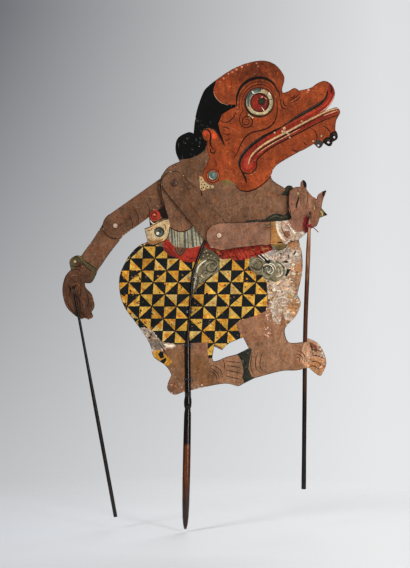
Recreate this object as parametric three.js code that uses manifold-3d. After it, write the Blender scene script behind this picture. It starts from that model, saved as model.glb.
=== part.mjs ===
// A flat shadow puppet of pierced and painted hide: a clown figure in profile on a split horn rod,
// with two jointed arms, each worked by its own thin hand rod.
//
// Millimetres, +Z up. The figure lies in the XZ plane and faces +X. It is looked at along +Y.
// The origin is the middle of the blunt point at the lower end of the main rod.
import * as THREE from "three";
import { mergeVertices } from "three/addons/utils/BufferGeometryUtils.js";
import Module from "manifold-3d";

const wasm = await Module();
wasm.setup();

// Sheets of hide
const BODY_HIDE = 1.8; // thickness of the body's sheet
const ARM_HIDE = 1.6; // thickness of each arm's sheet
const SEAT_GAP = 0.3; // between pieces that touch
const ARM_GAP = 0.4; // between an upper arm and its forearm, which slide on each other

// Main rod
const GRIP_RADIUS = 5.1;
const POINT_RADIUS = 1.6; // the blunt face at the point
const ROD_HEAD_HEIGHT = 177.5; // where the turned grip ends and the clamping part begins
const CLAMP_RADIUS = 4.2; // the clamping part, seen from the front, up to its shoulder
const PRONG_TIP_RADIUS = 2.1; // the same above the shoulder
const CLAMP_SHOULDER_HEIGHT = 247;
const SHOULDER_LENGTH = 10; // over which the clamping part grows slim
const PRONG_DEPTH = 2.5; // each prong, front to back, where the arms pass over it
const SLIT_FOOT = 182.2; // the lower end of the slit between the prongs
const ROD_SIDES = 20;

// Pins
const SHAFT_RADIUS = 1.5;
const PIN_CLEARANCE = 0.3; // round a shaft in its hole
const HEAD_HEIGHT = 1.6;
const HEAD_RIM = 0.56; // the straight edge of a head, below its dome
const DOME_STEPS = 5;
const SHOULDER_HEAD_RADIUS = 4.4;
const ELBOW_HEAD_RADIUS = 3.6;
const KEEPER_RADIUS = 3.4;
const KEEPER_THICKNESS = 1.2;
const TAIL = 0.6; // how far a shaft stands out of its keeper
const WASHER_RADIUS = 6.5;

// Arms: the radius of each round end
const FRONT_SHOULDER_RADIUS = 16.5;
const FRONT_ELBOW_RADIUS = 18.5;
const REAR_SHOULDER_RADIUS = 16.5;
const REAR_ELBOW_RADIUS = 17;

// Hand rods and their threads
const FRONT_ROD_RADIUS = 2.95;
const FRONT_ROD_TOP_RADIUS = 2.3;
const FRONT_ROD_TIP_RADIUS = 3.2;
const REAR_ROD_RADIUS = 1.8;
const REAR_ROD_TIP_RADIUS = 2.6;
const THREAD_RADIUS = 0.5;
const WINDING_TURNS = 4;
const KNOT_RADIUS = 1.5;
const KNOT_LENGTH = 1.8;
const EYE_RADIUS = 0.8; // the thread's small eye beside its winding
const HAND_ROD_SIDES = 14;
const HAND_ROD_STEPS = 44;
const FRONT_STAND_OFF = 3.7; // from the palm to the back of the front rod, at its thread
const REAR_STAND_OFF = 3.7;
const REAR_ROD_LEAN = 4.9; // degrees that the rear rod leans back

// Ties of the main rod
const TIE_THREAD = 0.9;
const TIE_TURNS = 2;
const TIE_CORNER = 1.6; // inside radius at a tie's corners

// Where the pins and threads are: [x, z]. Each is measured from the one before it on its arm.
const SHOULDER = [-15, 460.5];
const FRONT_UPPER_REACH = [60, -69.5]; // from the shoulder to the elbow
const FRONT_LOWER_REACH = [119.5, 13]; // from the elbow to the thread
const REAR_UPPER_REACH = [-78.5, -56];
const REAR_LOWER_REACH = [-55, -87];
const FRONT_ELBOW = beside(SHOULDER, FRONT_UPPER_REACH);
const REAR_ELBOW = beside(SHOULDER, REAR_UPPER_REACH);
const FRONT_THREAD = beside(FRONT_ELBOW, FRONT_LOWER_REACH);
const REAR_THREAD = beside(REAR_ELBOW, REAR_LOWER_REACH);
const FOOT_TOP = 254; // the front foot's highest point, which the front hand rod passes behind
const CLOTH_FRONT = 155.8; // the front edge of the waist cloth, which that rod stands beside
const CLOTH_CLEARANCE = 1.4; // from that edge to the rod

const SIDES = 16; // sides of a small round piece
const SIDE_ANGLE = Math.cos(Math.PI / SIDES);

// A place [x, z] that lies this far across and up from another
function beside([x, z], [across, up]) {
  return [x + across, z + up];
}

// Layers, as distances from the middle of the body's sheet
const BODY_FACE = BODY_HIDE / 2;
const PRONG_INNER = BODY_FACE + SEAT_GAP;
const PRONG_OUTER = PRONG_INNER + PRONG_DEPTH;
const UPPER_ARM_INNER = PRONG_OUTER + SEAT_GAP;
const UPPER_ARM_OUTER = UPPER_ARM_INNER + ARM_HIDE;
const FOREARM_INNER = UPPER_ARM_OUTER + ARM_GAP;
const FOREARM_OUTER = FOREARM_INNER + ARM_HIDE;

// Materials
function material(color, roughness, metalness = 0) {
  return new THREE.MeshStandardMaterial({ color, roughness, metalness });
}
const paintedHide = material(0xa8643c, 0.7);
const armHide = material(0x8c6955, 0.7);
const darkHorn = material(0x1d1613, 0.25);
const brownHorn = material(0x7a4623, 0.35);
const bone = material(0xe0be9e, 0.4);
const rawHide = material(0xb89870, 0.8);
const redThread = material(0x6a1612, 0.9);
const paleThread = material(0xb9a184, 0.9);

const part = new THREE.Group();

function add(name, geometry, surface) {
  const mesh = new THREE.Mesh(geometry, surface);
  mesh.name = name;
  part.add(mesh);
  return mesh;
}

// Solids that are joined or cut
function solid(geometry) {
  const bare = geometry.clone();
  bare.deleteAttribute("normal");
  bare.deleteAttribute("uv");
  const merged = mergeVertices(bare, 1e-4);
  return new wasm.Manifold(
    new wasm.Mesh({
      numProp: 3,
      vertProperties: merged.attributes.position.array,
      triVerts: new Uint32Array(merged.index.array),
    }),
  );
}

function geometryOf(body) {
  const mesh = body.getMesh();
  const geometry = new THREE.BufferGeometry();
  geometry.setAttribute("position", new THREE.BufferAttribute(mesh.vertProperties, 3));
  geometry.setIndex(new THREE.BufferAttribute(mesh.triVerts, 1));
  return geometry;
}

// Outlines
const SMOOTH = 3; // steps for each point of a smooth stretch

// Stretches of an outline that are drawn from this place
function drawnFrom(place, stretches) {
  return stretches.map((stretch) => stretch.map((point) => beside(place, point)));
}

// A closed outline. Each stretch is one smooth curve on from the last point, and a stretch of one
// point is a straight line. The stretches meet at corners.
function outline(stretches) {
  const path = new THREE.Path();
  path.moveTo(...stretches.at(-1).at(-1));
  for (const stretch of stretches) {
    if (stretch.length === 1) path.lineTo(...stretch[0]);
    else path.splineThru(stretch.map(([x, z]) => new THREE.Vector2(x, z)));
  }
  const points = path.getPoints(SMOOTH);
  points.pop();
  return new THREE.Shape(points);
}

// The same as an opening in a sheet: it runs anticlockwise, because the sheets run clockwise
function opening(stretches) {
  const points = outline(stretches).getPoints();
  return new THREE.Path(THREE.ShapeUtils.isClockWise(points) ? points.reverse() : points);
}

function roundHole([x, z], radius, sides = SIDES) {
  const points = [];
  for (let i = 0; i < sides; i++) {
    const angle = (2 * Math.PI * i) / sides;
    points.push(new THREE.Vector2(x + radius * Math.cos(angle), z + radius * Math.sin(angle)));
  }
  return new THREE.Path(points);
}

function pinHole(place) {
  return roundHole(place, (SHAFT_RADIUS + PIN_CLEARANCE) / SIDE_ANGLE);
}

// A flat sheet of hide with this outline, between two distances from the middle of the body.
// side is -1 for the front of the figure and 1 for the back.
function sheet(shape, inner, thickness, side) {
  const geometry = new THREE.ExtrudeGeometry(shape, {
    depth: thickness,
    bevelEnabled: false,
    curveSegments: SMOOTH,
  });
  geometry.rotateX(Math.PI / 2);
  geometry.translate(0, side < 0 ? -inner : inner + thickness, 0);
  return geometry;
}

// The body: head, trunk, waist cloth, legs and feet in one sheet
const BODY_OUTLINE = [
  // back of the skull, the dome and the notch above the nose
  [[12.5, 542.5], [15.5, 558.5], [21.5, 576.5], [27.5, 587.5], [43.5, 600.5], [63.5, 613.5],
    [83.5, 621.5], [103.5, 624.5], [119.5, 619.5], [130.5, 606.5], [132, 598], [129, 586],
    [130.5, 581.5]],
  // nose and the two lips
  [[137, 583.5], [145.5, 588], [151.5, 584.5]],
  [[166.5, 588], [175.5, 594], [185.5, 597.5], [195, 592.5], [199.5, 582], [197, 571.5], [191, 562.5],
    [185.5, 557]],
  [[193.5, 560], [202, 562], [206.5, 555.5], [201, 544], [200, 532]],
  // three curls of beard under the chin
  [[203, 526.5], [202.5, 520], [196.5, 516]],
  [[195, 511.5], [190.5, 510.5], [184.5, 514.5]],
  [[181.5, 509.5], [177.5, 508], [171.5, 513.5]],
  // jaw, chest and the web behind the front hand
  [[158.5, 506], [151, 502.5], [129, 490], [119, 482], [114, 471]],
  [[117.5, 464], [132.5, 454.5]],
  [[137, 458], [143.5, 455.5], [148.5, 438.5], [148.5, 401.5], [151.5, 384]],
  // front of the waist cloth and the knee
  [[CLOTH_FRONT, 365.5], [CLOTH_FRONT, 342.5], [150.5, 317.5], [149.5, 312]],
  [[154, 300.5], [147, 283.5], [135.5, 271.5], [132.5, 262.5], [138, 249], [154.5, 249],
    [161.5, 250.5]],
  // front foot
  [[164.5, 254], [179.5, 245], [188, 223.5], [183.5, 209], [178, 204.5], [164, 215.5]],
  [[148.5, 211.5], [127.5, 210.5], [92, 201]],
  [[77, 193.5]],
  // rear foot
  [[69.5, 190.5], [53.5, 194], [26.5, 189.5]],
  [[-3, 182.5], [-13.5, 179], [-22, 183.5], [-24, 191.5], [-18.5, 205.5]],
  [[-23, 214]],
  [[-28, 219.5]],
  // back of the waist cloth
  [[-42.5, 230], [-47.5, 247], [-62.5, 270.5], [-80, 294], [-87.5, 316], [-87, 340], [-76, 363]],
  [[-67.5, 373], [-59, 379.5]],
  // sash end with its rosette
  [[-50.5, 383]],
  [[-52, 390], [-54.5, 400.5]],
  [[-47, 403.5]],
  [[-48, 417.5], [-43, 425.5], [-36.5, 425.5]],
  [[-28.5, 431]],
  // back, shoulder and the knot of hair
  [[-33.5, 446], [-35, 457.5], [-32.5, 469.5]],
  [[-23, 482.5], [-7.5, 490]],
  [[-13, 504], [-10.5, 520.5], [3.5, 529], [11, 527.5]],
];
const LEG_WINDOW = [
  [[49, 238.5]],
  [[57.5, 247], [69.5, 252.5], [77, 255.5]],
  [[84.5, 241]],
  [[68.5, 233]],
  [[55, 229.5], [37, 224], [38.5, 243.5]],
];
const BEARD_HOLES = [[198.5, 522.5], [190.5, 515.5], [177.5, 511.5]];
const BEARD_HOLE_RADIUS = 1.4;

// The main rod's centre line above the grip, from its head up to its end under the front arm
const ROD_COURSE = [
  [3.5, ROD_HEAD_HEIGHT],
  [3, CLAMP_SHOULDER_HEIGHT],
  [4.5, 272],
  [7.5, 312],
  [10.5, 342.5],
  [15, 355.5],
  [24.5, 381.5],
  [31, 397.5],
];
const ROD_LINE = new THREE.CatmullRomCurve3(ROD_COURSE.map(([x, z]) => new THREE.Vector3(x, 0, z)));
const ROD_STEPS = 40;
const TIE_DISTANCES = [202, 157, 112, 67]; // along that line from its upper end to each tie
const TIE_HEIGHT = TIE_THREAD * TIE_TURNS;
const TIE_HOLE_RADIUS = (Math.hypot(TIE_THREAD, TIE_HEIGHT) / 2 + SEAT_GAP) / SIDE_ANGLE;

// How wide and how deep the clamping part is at a share of its line: full and round up to its
// shoulder, then slimmer up to a blunt end
function rodSlimness(share) {
  const foot = CLAMP_SHOULDER_HEIGHT;
  return THREE.MathUtils.smoothstep(ROD_LINE.getPointAt(share).z, foot, foot + SHOULDER_LENGTH);
}
function rodWidth(share) {
  const end = THREE.MathUtils.smoothstep(share, 0.96, 1);
  return THREE.MathUtils.lerp(CLAMP_RADIUS, PRONG_TIP_RADIUS, rodSlimness(share)) * (1 - 0.5 * end);
}
function rodDepth(share) {
  return THREE.MathUtils.lerp(CLAMP_RADIUS, PRONG_OUTER, rodSlimness(share));
}

// A bar with an elliptical section along a curve. width(share) and depth(share) are its half sizes,
// across the curve in the figure's plane and out of it.
function bar(curve, steps, sides, width, depth) {
  const out = new THREE.Vector3(0, 1, 0);
  const positions = [];
  for (let i = 0; i <= steps; i++) {
    const share = i / steps;
    const middle = curve.getPointAt(share);
    const across = out.clone().cross(curve.getTangentAt(share)).normalize();
    const through = curve.getTangentAt(share).cross(across).normalize();
    for (let j = 0; j < sides; j++) {
      const angle = (2 * Math.PI * (j + 0.5)) / sides;
      const point = middle
        .clone()
        .addScaledVector(across, width(share) * Math.cos(angle))
        .addScaledVector(through, depth(share) * Math.sin(angle));
      positions.push(point.x, point.y, point.z);
    }
  }
  const ends = [curve.getPoint(0), curve.getPoint(1)];
  for (const end of ends) positions.push(end.x, end.y, end.z);
  const low = (steps + 1) * sides;
  const index = [];
  for (let j = 0; j < sides; j++) {
    const next = (j + 1) % sides;
    for (let i = 0; i < steps; i++) {
      const a = i * sides + j;
      const b = i * sides + next;
      index.push(a, b, b + sides, a, b + sides, a + sides);
    }
    index.push(low, next, j);
    index.push(low + 1, steps * sides + j, steps * sides + next);
  }
  const geometry = new THREE.BufferGeometry();
  geometry.setAttribute("position", new THREE.Float32BufferAttribute(positions, 3));
  geometry.setIndex(index);
  return geometry;
}

// A turned piece whose axis runs along +Z. The profile is [radius, height], from the axis and back.
function turned(profile, sides = SIDES) {
  const geometry = new THREE.LatheGeometry(
    profile.map(([radius, height]) => new THREE.Vector2(radius, height)),
    sides,
  );
  geometry.rotateX(Math.PI / 2);
  return geometry;
}

// The grip's turned profile, [radius, height]: the point, the swelling, the groove and the bead
const GRIP = [
  [0, -1],
  [POINT_RADIUS, -1],
  [POINT_RADIUS, 0],
  [3.1, 6],
  [4.2, 16],
  [4.8, 34],
  [GRIP_RADIUS, 62],
  [GRIP_RADIUS, 104],
  [4.8, 140],
  [4.6, 154],
  [3.9, 158.5],
  [3.9, 161],
  [4.8, 163.5],
  [GRIP_RADIUS, 168],
  [4.9, 172.5],
  [CLAMP_RADIUS, 176],
];

function mainRod() {
  const head = ROD_LINE.getPoint(0);
  const length = head.length();
  const neck = CLAMP_RADIUS - 0.1;
  const grip = turned([...GRIP, [neck, length + 2], [0, length + 2]], ROD_SIDES);
  grip.rotateY(Math.atan2(head.x, head.z));
  const clamp = bar(ROD_LINE, ROD_STEPS, ROD_SIDES, rodWidth, rodDepth);
  const tip = ROD_LINE.getPoint(1);
  const slit = new THREE.BoxGeometry(4 * tip.x, 2 * PRONG_INNER, tip.z);
  slit.translate(0, 0, SLIT_FOOT + tip.z / 2);
  // The blunt point is cut square to +Z.
  return geometryOf(solid(grip).add(solid(clamp)).subtract(solid(slit)).trimByPlane([0, 0, 1], 0));
}

// A tie: thread laid flat round both prongs, through a hole on each side of the rod
function tieFrame(distance) {
  const share = 1 - distance / ROD_LINE.getLength();
  const middle = ROD_LINE.getPointAt(share);
  const along = ROD_LINE.getTangentAt(share);
  const lean = Math.atan2(along.x, along.z);
  return { middle, lean, halfX: rodWidth(share) + SEAT_GAP, halfY: rodDepth(share) + SEAT_GAP };
}
function tie(distance) {
  const { middle, lean, halfX, halfY } = tieFrame(distance);
  const loop = roundedBox(halfX + TIE_THREAD, halfY + TIE_THREAD, TIE_CORNER + TIE_THREAD);
  loop.holes.push(roundedBox(halfX, halfY, TIE_CORNER));
  const geometry = new THREE.ExtrudeGeometry(loop, {
    depth: TIE_HEIGHT,
    bevelEnabled: false,
    curveSegments: 2,
  });
  geometry.translate(0, 0, -TIE_HEIGHT / 2);
  geometry.rotateY(lean);
  geometry.translate(middle.x, middle.y, middle.z);
  return geometry;
}
function roundedBox(halfX, halfY, corner) {
  const shape = new THREE.Shape();
  const x = halfX - corner;
  const y = halfY - corner;
  shape.moveTo(halfX, -y);
  shape.absarc(x, y, corner, 0, Math.PI / 2);
  shape.absarc(-x, y, corner, Math.PI / 2, Math.PI);
  shape.absarc(-x, -y, corner, Math.PI, 1.5 * Math.PI);
  shape.absarc(x, -y, corner, 1.5 * Math.PI, 2 * Math.PI);
  return shape;
}
function tieHoles(distance) {
  const { middle, lean, halfX } = tieFrame(distance);
  const legs = halfX + TIE_THREAD / 2;
  return [-1, 1].map((side) => {
    const x = middle.x + side * legs * Math.cos(lean);
    const z = middle.z - side * legs * Math.sin(lean);
    return roundHole([x, z], TIE_HOLE_RADIUS, 12);
  });
}

function bodyHide() {
  const shape = outline(BODY_OUTLINE);
  shape.holes.push(opening(LEG_WINDOW), pinHole(SHOULDER));
  for (const place of BEARD_HOLES) shape.holes.push(roundHole(place, BEARD_HOLE_RADIUS, 8));
  for (const distance of TIE_DISTANCES) shape.holes.push(...tieHoles(distance));
  return sheet(shape, BODY_FACE, BODY_HIDE, -1).translate(0, BODY_HIDE, 0);
}

// An upper arm: two round ends round the pins, joined by straight sides
function upperArm(from, to, fromRadius, toRadius, side) {
  const dx = to[0] - from[0];
  const dz = to[1] - from[1];
  const along = Math.atan2(dz, dx);
  const flare = Math.acos((fromRadius - toRadius) / Math.hypot(dx, dz));
  const shape = new THREE.Shape();
  const start = along + flare;
  shape.moveTo(from[0] + fromRadius * Math.cos(start), from[1] + fromRadius * Math.sin(start));
  shape.absarc(from[0], from[1], fromRadius, start, along - flare + 2 * Math.PI, false);
  shape.absarc(to[0], to[1], toRadius, along - flare, along + flare, false);
  shape.holes.push(pinHole(from), pinHole(to));
  const geometry = new THREE.ExtrudeGeometry(shape, {
    depth: ARM_HIDE,
    bevelEnabled: false,
    curveSegments: SIDES,
  });
  geometry.rotateX(Math.PI / 2);
  geometry.translate(0, side < 0 ? -UPPER_ARM_INNER : UPPER_ARM_OUTER, 0);
  return geometry;
}

// Forearms, each with its bracelet and hand. The elbow's end is drawn from the elbow's pin, and the
// hand from the thread in its palm.
const FRONT_ELBOW_TOP = [
  [[-12.5, -14], [-17.5, -0.5], [-12, 12], [0.5, 17]],
  [[28, 17.5], [57.5, 18.5]],
];
const FRONT_HAND = [
  [[-31.5, 7], [-23.5, 10.5]],
  [[-27.5, 24], [-26, 46.5]],
  [[-19.5, 51], [-11.5, 52]],
  [[-11, 57.5], [-7.5, 61], [-3.5, 56.5], [-3.5, 48.5]],
  [[2.5, 41], [10, 35.5]],
  [[13, 42.5], [23, 47], [18.5, 34.5], [16.5, 23.5]],
  [[24.5, 14.5]],
  [[14, 10.5]],
  [[12, 4], [9, -1], [0.5, -4.5]],
  [[-4, -10], [-15.5, -19], [-28, -22]],
  [[-31, -29], [-39, -32.5], [-47, -29.5], [-51, -24.5]],
];
const FRONT_ELBOW_UNDER = [
  [[28, -16], [2, -20]],
];
const REAR_ELBOW_TOP = [
  [[17, -4], [16, 8], [4, 17.5], [-10.5, 14], [-17.5, 1.5]],
  [[-30, -18.5]],
];
const REAR_HAND = [
  [[9, 47]],
  [[1.5, 47], [-6.5, 40.5], [-4.5, 28.5]],
  [[-12.5, 18.5], [-16, 0.5], [-11.5, -19.5], [-1, -31.5], [9, -37.5], [13.5, -36]],
  [[19.5, -38.5], [25, -34.5], [23, -28.5]],
  [[27, -20], [23.5, -5], [15.5, 4], [14, 10.5]],
  [[23.5, 11.5], [31.5, 27]],
];
const REAR_ELBOW_UNDER = [
  [[-9.5, -39], [9.5, -14.5]],
];
const THREAD_HOLE_RADIUS = (THREAD_RADIUS + SEAT_GAP) / SIDE_ANGLE;

function forearm(top, hand, under, elbow, thread, side) {
  const stretches = [...drawnFrom(elbow, top), ...drawnFrom(thread, hand), ...drawnFrom(elbow, under)];
  const shape = outline(stretches);
  shape.holes.push(pinHole(elbow), roundHole(thread, THREAD_HOLE_RADIUS, 8));
  return sheet(shape, FOREARM_INNER, ARM_HIDE, side);
}

// Turns a piece that was made along +Z to lie along Y at a place [x, z]: side -1 points its +Z
// end to the front, and distance is how far its z = 0 lies from the middle of the body.
function across(geometry, [x, z], distance, side) {
  geometry.rotateX(side < 0 ? Math.PI / 2 : -Math.PI / 2);
  geometry.translate(x, side * distance, z);
  return geometry;
}

// A pin with a domed head over the outermost sheet on its own side and a shaft down to its tail
function pin(place, headFace, tailFace, headRadius, side) {
  const length = headFace + tailFace;
  const profile = [
    [0, -length],
    [SHAFT_RADIUS - 0.3, -length],
    [SHAFT_RADIUS, -length + 0.4],
    [SHAFT_RADIUS, 0],
    [headRadius, 0],
  ];
  for (let i = 0; i < DOME_STEPS; i++) {
    const angle = ((i / DOME_STEPS) * Math.PI) / 2;
    profile.push([headRadius * Math.cos(angle), HEAD_RIM + (HEAD_HEIGHT - HEAD_RIM) * Math.sin(angle)]);
  }
  profile.push([0, HEAD_HEIGHT]);
  return across(turned(profile), place, headFace, side);
}

// A flat ring round a shaft
function ring(place, radius, thickness, inner, side) {
  const bore = (SHAFT_RADIUS + PIN_CLEARANCE) / SIDE_ANGLE;
  const geometry = turned([
    [bore, 0],
    [radius, 0],
    [radius, thickness],
    [bore, thickness],
    [bore, 0],
  ]);
  return across(geometry, place, inner, side);
}

// Hand rods
const FRONT_PALM = FOREARM_OUTER + FRONT_STAND_OFF;
const FRONT_TIE_Y = -(FRONT_PALM + FRONT_ROD_TOP_RADIUS);
const FRONT_FOOT_Y = BODY_FACE + SEAT_GAP + FRONT_ROD_RADIUS;
// How far each rod leans back for each unit of height: the front rod leans enough to pass behind
// the front foot.
const FRONT_LEAN = (FRONT_FOOT_Y - FRONT_TIE_Y) / (FRONT_THREAD[1] - FOOT_TOP - 1);
const REAR_LEAN = Math.tan(THREE.MathUtils.degToRad(REAR_ROD_LEAN));
function leaned([x, z], thread, tieY, lean) {
  return new THREE.Vector3(x, tieY + (thread[1] - z) * lean, z);
}
const FRONT_ROD_STAND = CLOTH_FRONT + CLOTH_CLEARANCE + FRONT_ROD_RADIUS;
const FRONT_ROD_COURSE = [
  beside(FRONT_THREAD, [1, 18.5]),
  FRONT_THREAD,
  [FRONT_ROD_STAND + 2, 335],
  [FRONT_ROD_STAND, 265.5],
  [FRONT_ROD_STAND - 0.3, 172],
  [FRONT_ROD_STAND - 0.5, 50],
];
const FRONT_ROD_LINE = new THREE.CatmullRomCurve3(
  FRONT_ROD_COURSE.map((point) => leaned(point, FRONT_THREAD, FRONT_TIE_Y, FRONT_LEAN)),
);
const REAR_TIE_Y = FOREARM_INNER - REAR_STAND_OFF - REAR_ROD_RADIUS;
const REAR_ROD_TOP = [-1.1, 6.5];
const REAR_ROD_TIP = [54, -305];
const REAR_ROD_LINE = new THREE.LineCurve3(
  leaned(beside(REAR_THREAD, REAR_ROD_TOP), REAR_THREAD, REAR_TIE_Y, REAR_LEAN),
  leaned(beside(REAR_THREAD, REAR_ROD_TIP), REAR_THREAD, REAR_TIE_Y, REAR_LEAN),
);
function frontRodRadius(share) {
  const full = THREE.MathUtils.smoothstep(share, 0.065, 0.14);
  const foot = THREE.MathUtils.smoothstep(share, 0.85, 1);
  const end = 1 - THREE.MathUtils.smoothstep(share, 0, 0.03);
  const body = THREE.MathUtils.lerp(FRONT_ROD_RADIUS, FRONT_ROD_TIP_RADIUS, foot);
  return THREE.MathUtils.lerp(FRONT_ROD_TOP_RADIUS, body, full) * (1 - 0.4 * end);
}
function rearRodRadius(share) {
  const slack = THREE.MathUtils.smoothstep(share, 0.2, 0.6);
  return THREE.MathUtils.lerp(REAR_ROD_RADIUS, REAR_ROD_TIP_RADIUS, slack);
}

// Thread wound on a rod at its tie: turns side by side
function winding(place, tangent, rodRadius) {
  const inner = rodRadius + SEAT_GAP;
  const pitch = 2 * THREAD_RADIUS;
  const half = (WINDING_TURNS * pitch) / 2;
  const profile = [[inner, -half]];
  for (let turn = 0; turn < WINDING_TURNS; turn++) {
    const foot = -half + turn * pitch;
    for (const [out, up] of [[1.2, 0.1], [2, 0.5], [1.2, 0.9]]) {
      profile.push([inner + out * THREAD_RADIUS, foot + up * pitch]);
    }
  }
  profile.push([inner, half], [inner, -half]);
  const geometry = turned(profile, 12);
  const turn = new THREE.Quaternion().setFromUnitVectors(new THREE.Vector3(0, 0, 1), tangent);
  geometry.applyQuaternion(turn);
  geometry.translate(place.x, place.y, place.z);
  return geometry;
}

// The same thread where it goes through the palm, from its eye beside the winding at fromY to its
// knot behind the palm, whose front face is at palmY
function palmThread(thread, fromY, palmY) {
  const reach = palmY - fromY;
  const back = ARM_HIDE + SEAT_GAP;
  const profile = [
    [0, -reach],
    [EYE_RADIUS, -reach],
    [EYE_RADIUS, -reach + 1],
    [THREAD_RADIUS, -reach + 1.6],
    [THREAD_RADIUS, back],
    [KNOT_RADIUS, back + 0.4],
    [KNOT_RADIUS, back + KNOT_LENGTH - 0.4],
    [THREAD_RADIUS, back + KNOT_LENGTH],
    [0, back + KNOT_LENGTH],
  ];
  return across(turned(profile, 8), thread, palmY, 1);
}

add("body_hide", bodyHide(), paintedHide);
add("main_rod", mainRod(), darkHorn);
TIE_DISTANCES.forEach((distance, i) => add(`main_rod_tie_${i + 1}`, tie(distance), paleThread));

add(
  "front_upper_arm",
  upperArm(SHOULDER, FRONT_ELBOW, FRONT_SHOULDER_RADIUS, FRONT_ELBOW_RADIUS, -1),
  armHide,
);
add(
  "front_forearm",
  forearm(FRONT_ELBOW_TOP, FRONT_HAND, FRONT_ELBOW_UNDER, FRONT_ELBOW, FRONT_THREAD, -1),
  armHide,
);
add(
  "rear_upper_arm",
  upperArm(SHOULDER, REAR_ELBOW, REAR_SHOULDER_RADIUS, REAR_ELBOW_RADIUS, 1),
  armHide,
);
add(
  "rear_forearm",
  forearm(REAR_ELBOW_TOP, REAR_HAND, REAR_ELBOW_UNDER, REAR_ELBOW, REAR_THREAD, 1),
  armHide,
);

// Each pin's faces: the outermost sheet under its head, and under its keeper
const KEEPER_REACH = SEAT_GAP + KEEPER_THICKNESS + TAIL;
const ARM_FACE = UPPER_ARM_OUTER + SEAT_GAP;
const HAND_FACE = FOREARM_OUTER + SEAT_GAP;
const INNER_FACE = UPPER_ARM_INNER - SEAT_GAP;
const WASHER_FACE = BODY_FACE + SEAT_GAP;
const WASHER_THICKNESS = INNER_FACE - WASHER_FACE;

add(
  "shoulder_pin",
  pin(SHOULDER, ARM_FACE, UPPER_ARM_OUTER + KEEPER_REACH, SHOULDER_HEAD_RADIUS, -1),
  brownHorn,
);
add("shoulder_keeper", ring(SHOULDER, KEEPER_RADIUS, KEEPER_THICKNESS, ARM_FACE, 1), bone);
add("front_shoulder_washer", ring(SHOULDER, WASHER_RADIUS, WASHER_THICKNESS, WASHER_FACE, -1), rawHide);
add("rear_shoulder_washer", ring(SHOULDER, WASHER_RADIUS, WASHER_THICKNESS, WASHER_FACE, 1), rawHide);

add(
  "front_elbow_pin",
  pin(FRONT_ELBOW, HAND_FACE, KEEPER_REACH - UPPER_ARM_INNER, ELBOW_HEAD_RADIUS, -1),
  bone,
);
add(
  "front_elbow_keeper",
  ring(FRONT_ELBOW, KEEPER_RADIUS, KEEPER_THICKNESS, INNER_FACE - KEEPER_THICKNESS, -1),
  bone,
);
add(
  "rear_elbow_pin",
  pin(REAR_ELBOW, -INNER_FACE, FOREARM_OUTER + KEEPER_REACH, ELBOW_HEAD_RADIUS, -1),
  bone,
);
add("rear_elbow_keeper", ring(REAR_ELBOW, KEEPER_RADIUS, KEEPER_THICKNESS, HAND_FACE, 1), bone);

add(
  "front_hand_rod",
  bar(FRONT_ROD_LINE, HAND_ROD_STEPS, HAND_ROD_SIDES, frontRodRadius, frontRodRadius),
  brownHorn,
);
add("rear_hand_rod", bar(REAR_ROD_LINE, 16, HAND_ROD_SIDES, rearRodRadius, rearRodRadius), darkHorn);

// Each hand thread, with its winding on the rod
const THREAD_REACH = 2 * SEAT_GAP + 2 * THREAD_RADIUS; // from a rod's face to the thread's eye
add(
  "front_hand_winding",
  winding(
    leaned(FRONT_THREAD, FRONT_THREAD, FRONT_TIE_Y, FRONT_LEAN),
    FRONT_ROD_LINE.getTangentAt(0.05).negate(),
    FRONT_ROD_TOP_RADIUS,
  ),
  redThread,
);
add(
  "rear_hand_winding",
  winding(
    leaned(REAR_THREAD, REAR_THREAD, REAR_TIE_Y, REAR_LEAN),
    REAR_ROD_LINE.getTangentAt(0.02).negate(),
    REAR_ROD_RADIUS,
  ),
  paleThread,
);
add(
  "front_hand_thread",
  palmThread(FRONT_THREAD, FRONT_TIE_Y + FRONT_ROD_TOP_RADIUS + THREAD_REACH, -FOREARM_OUTER),
  redThread,
);
add(
  "rear_hand_thread",
  palmThread(REAR_THREAD, REAR_TIE_Y + REAR_ROD_RADIUS + THREAD_REACH, FOREARM_INNER),
  paleThread,
);

export default part;
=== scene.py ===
import math
import random
import re

import bmesh
import bpy
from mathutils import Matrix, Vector
from mathutils.geometry import delaunay_2d_cdt


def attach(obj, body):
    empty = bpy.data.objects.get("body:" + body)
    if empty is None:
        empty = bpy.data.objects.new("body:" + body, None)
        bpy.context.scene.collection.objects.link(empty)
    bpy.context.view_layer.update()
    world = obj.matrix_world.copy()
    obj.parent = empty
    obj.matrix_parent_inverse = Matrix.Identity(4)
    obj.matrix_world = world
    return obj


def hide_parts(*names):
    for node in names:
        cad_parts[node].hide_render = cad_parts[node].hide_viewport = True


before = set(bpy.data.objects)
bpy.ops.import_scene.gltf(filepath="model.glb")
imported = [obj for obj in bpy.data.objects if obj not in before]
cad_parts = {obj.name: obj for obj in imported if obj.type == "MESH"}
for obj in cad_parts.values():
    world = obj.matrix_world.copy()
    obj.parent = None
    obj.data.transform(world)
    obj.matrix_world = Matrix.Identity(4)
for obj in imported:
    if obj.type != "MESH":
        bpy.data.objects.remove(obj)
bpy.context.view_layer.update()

MM = 0.001

# The painting is drawn on a grid of squares of 4/3 mm, with u to the right and v down.
SQUARE = 4 / 3 * MM
ROD_POINT = (185.3, 529)  # where the main rod's point is on that grid
STEPS = 4  # steps for each point of a smooth line
PATCH_STEP = 1.3  # between the points of a worn patch's edge, in squares
RAGGED = 0.7  # how far each of them may be moved, in squares

chance = random.Random(7)


def place(point):
    """A point of the drawing, in metres in the figure's plane."""
    return Vector(((point[0] - ROD_POINT[0]) * SQUARE, (ROD_POINT[1] - point[1]) * SQUARE))


# Materials


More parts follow.
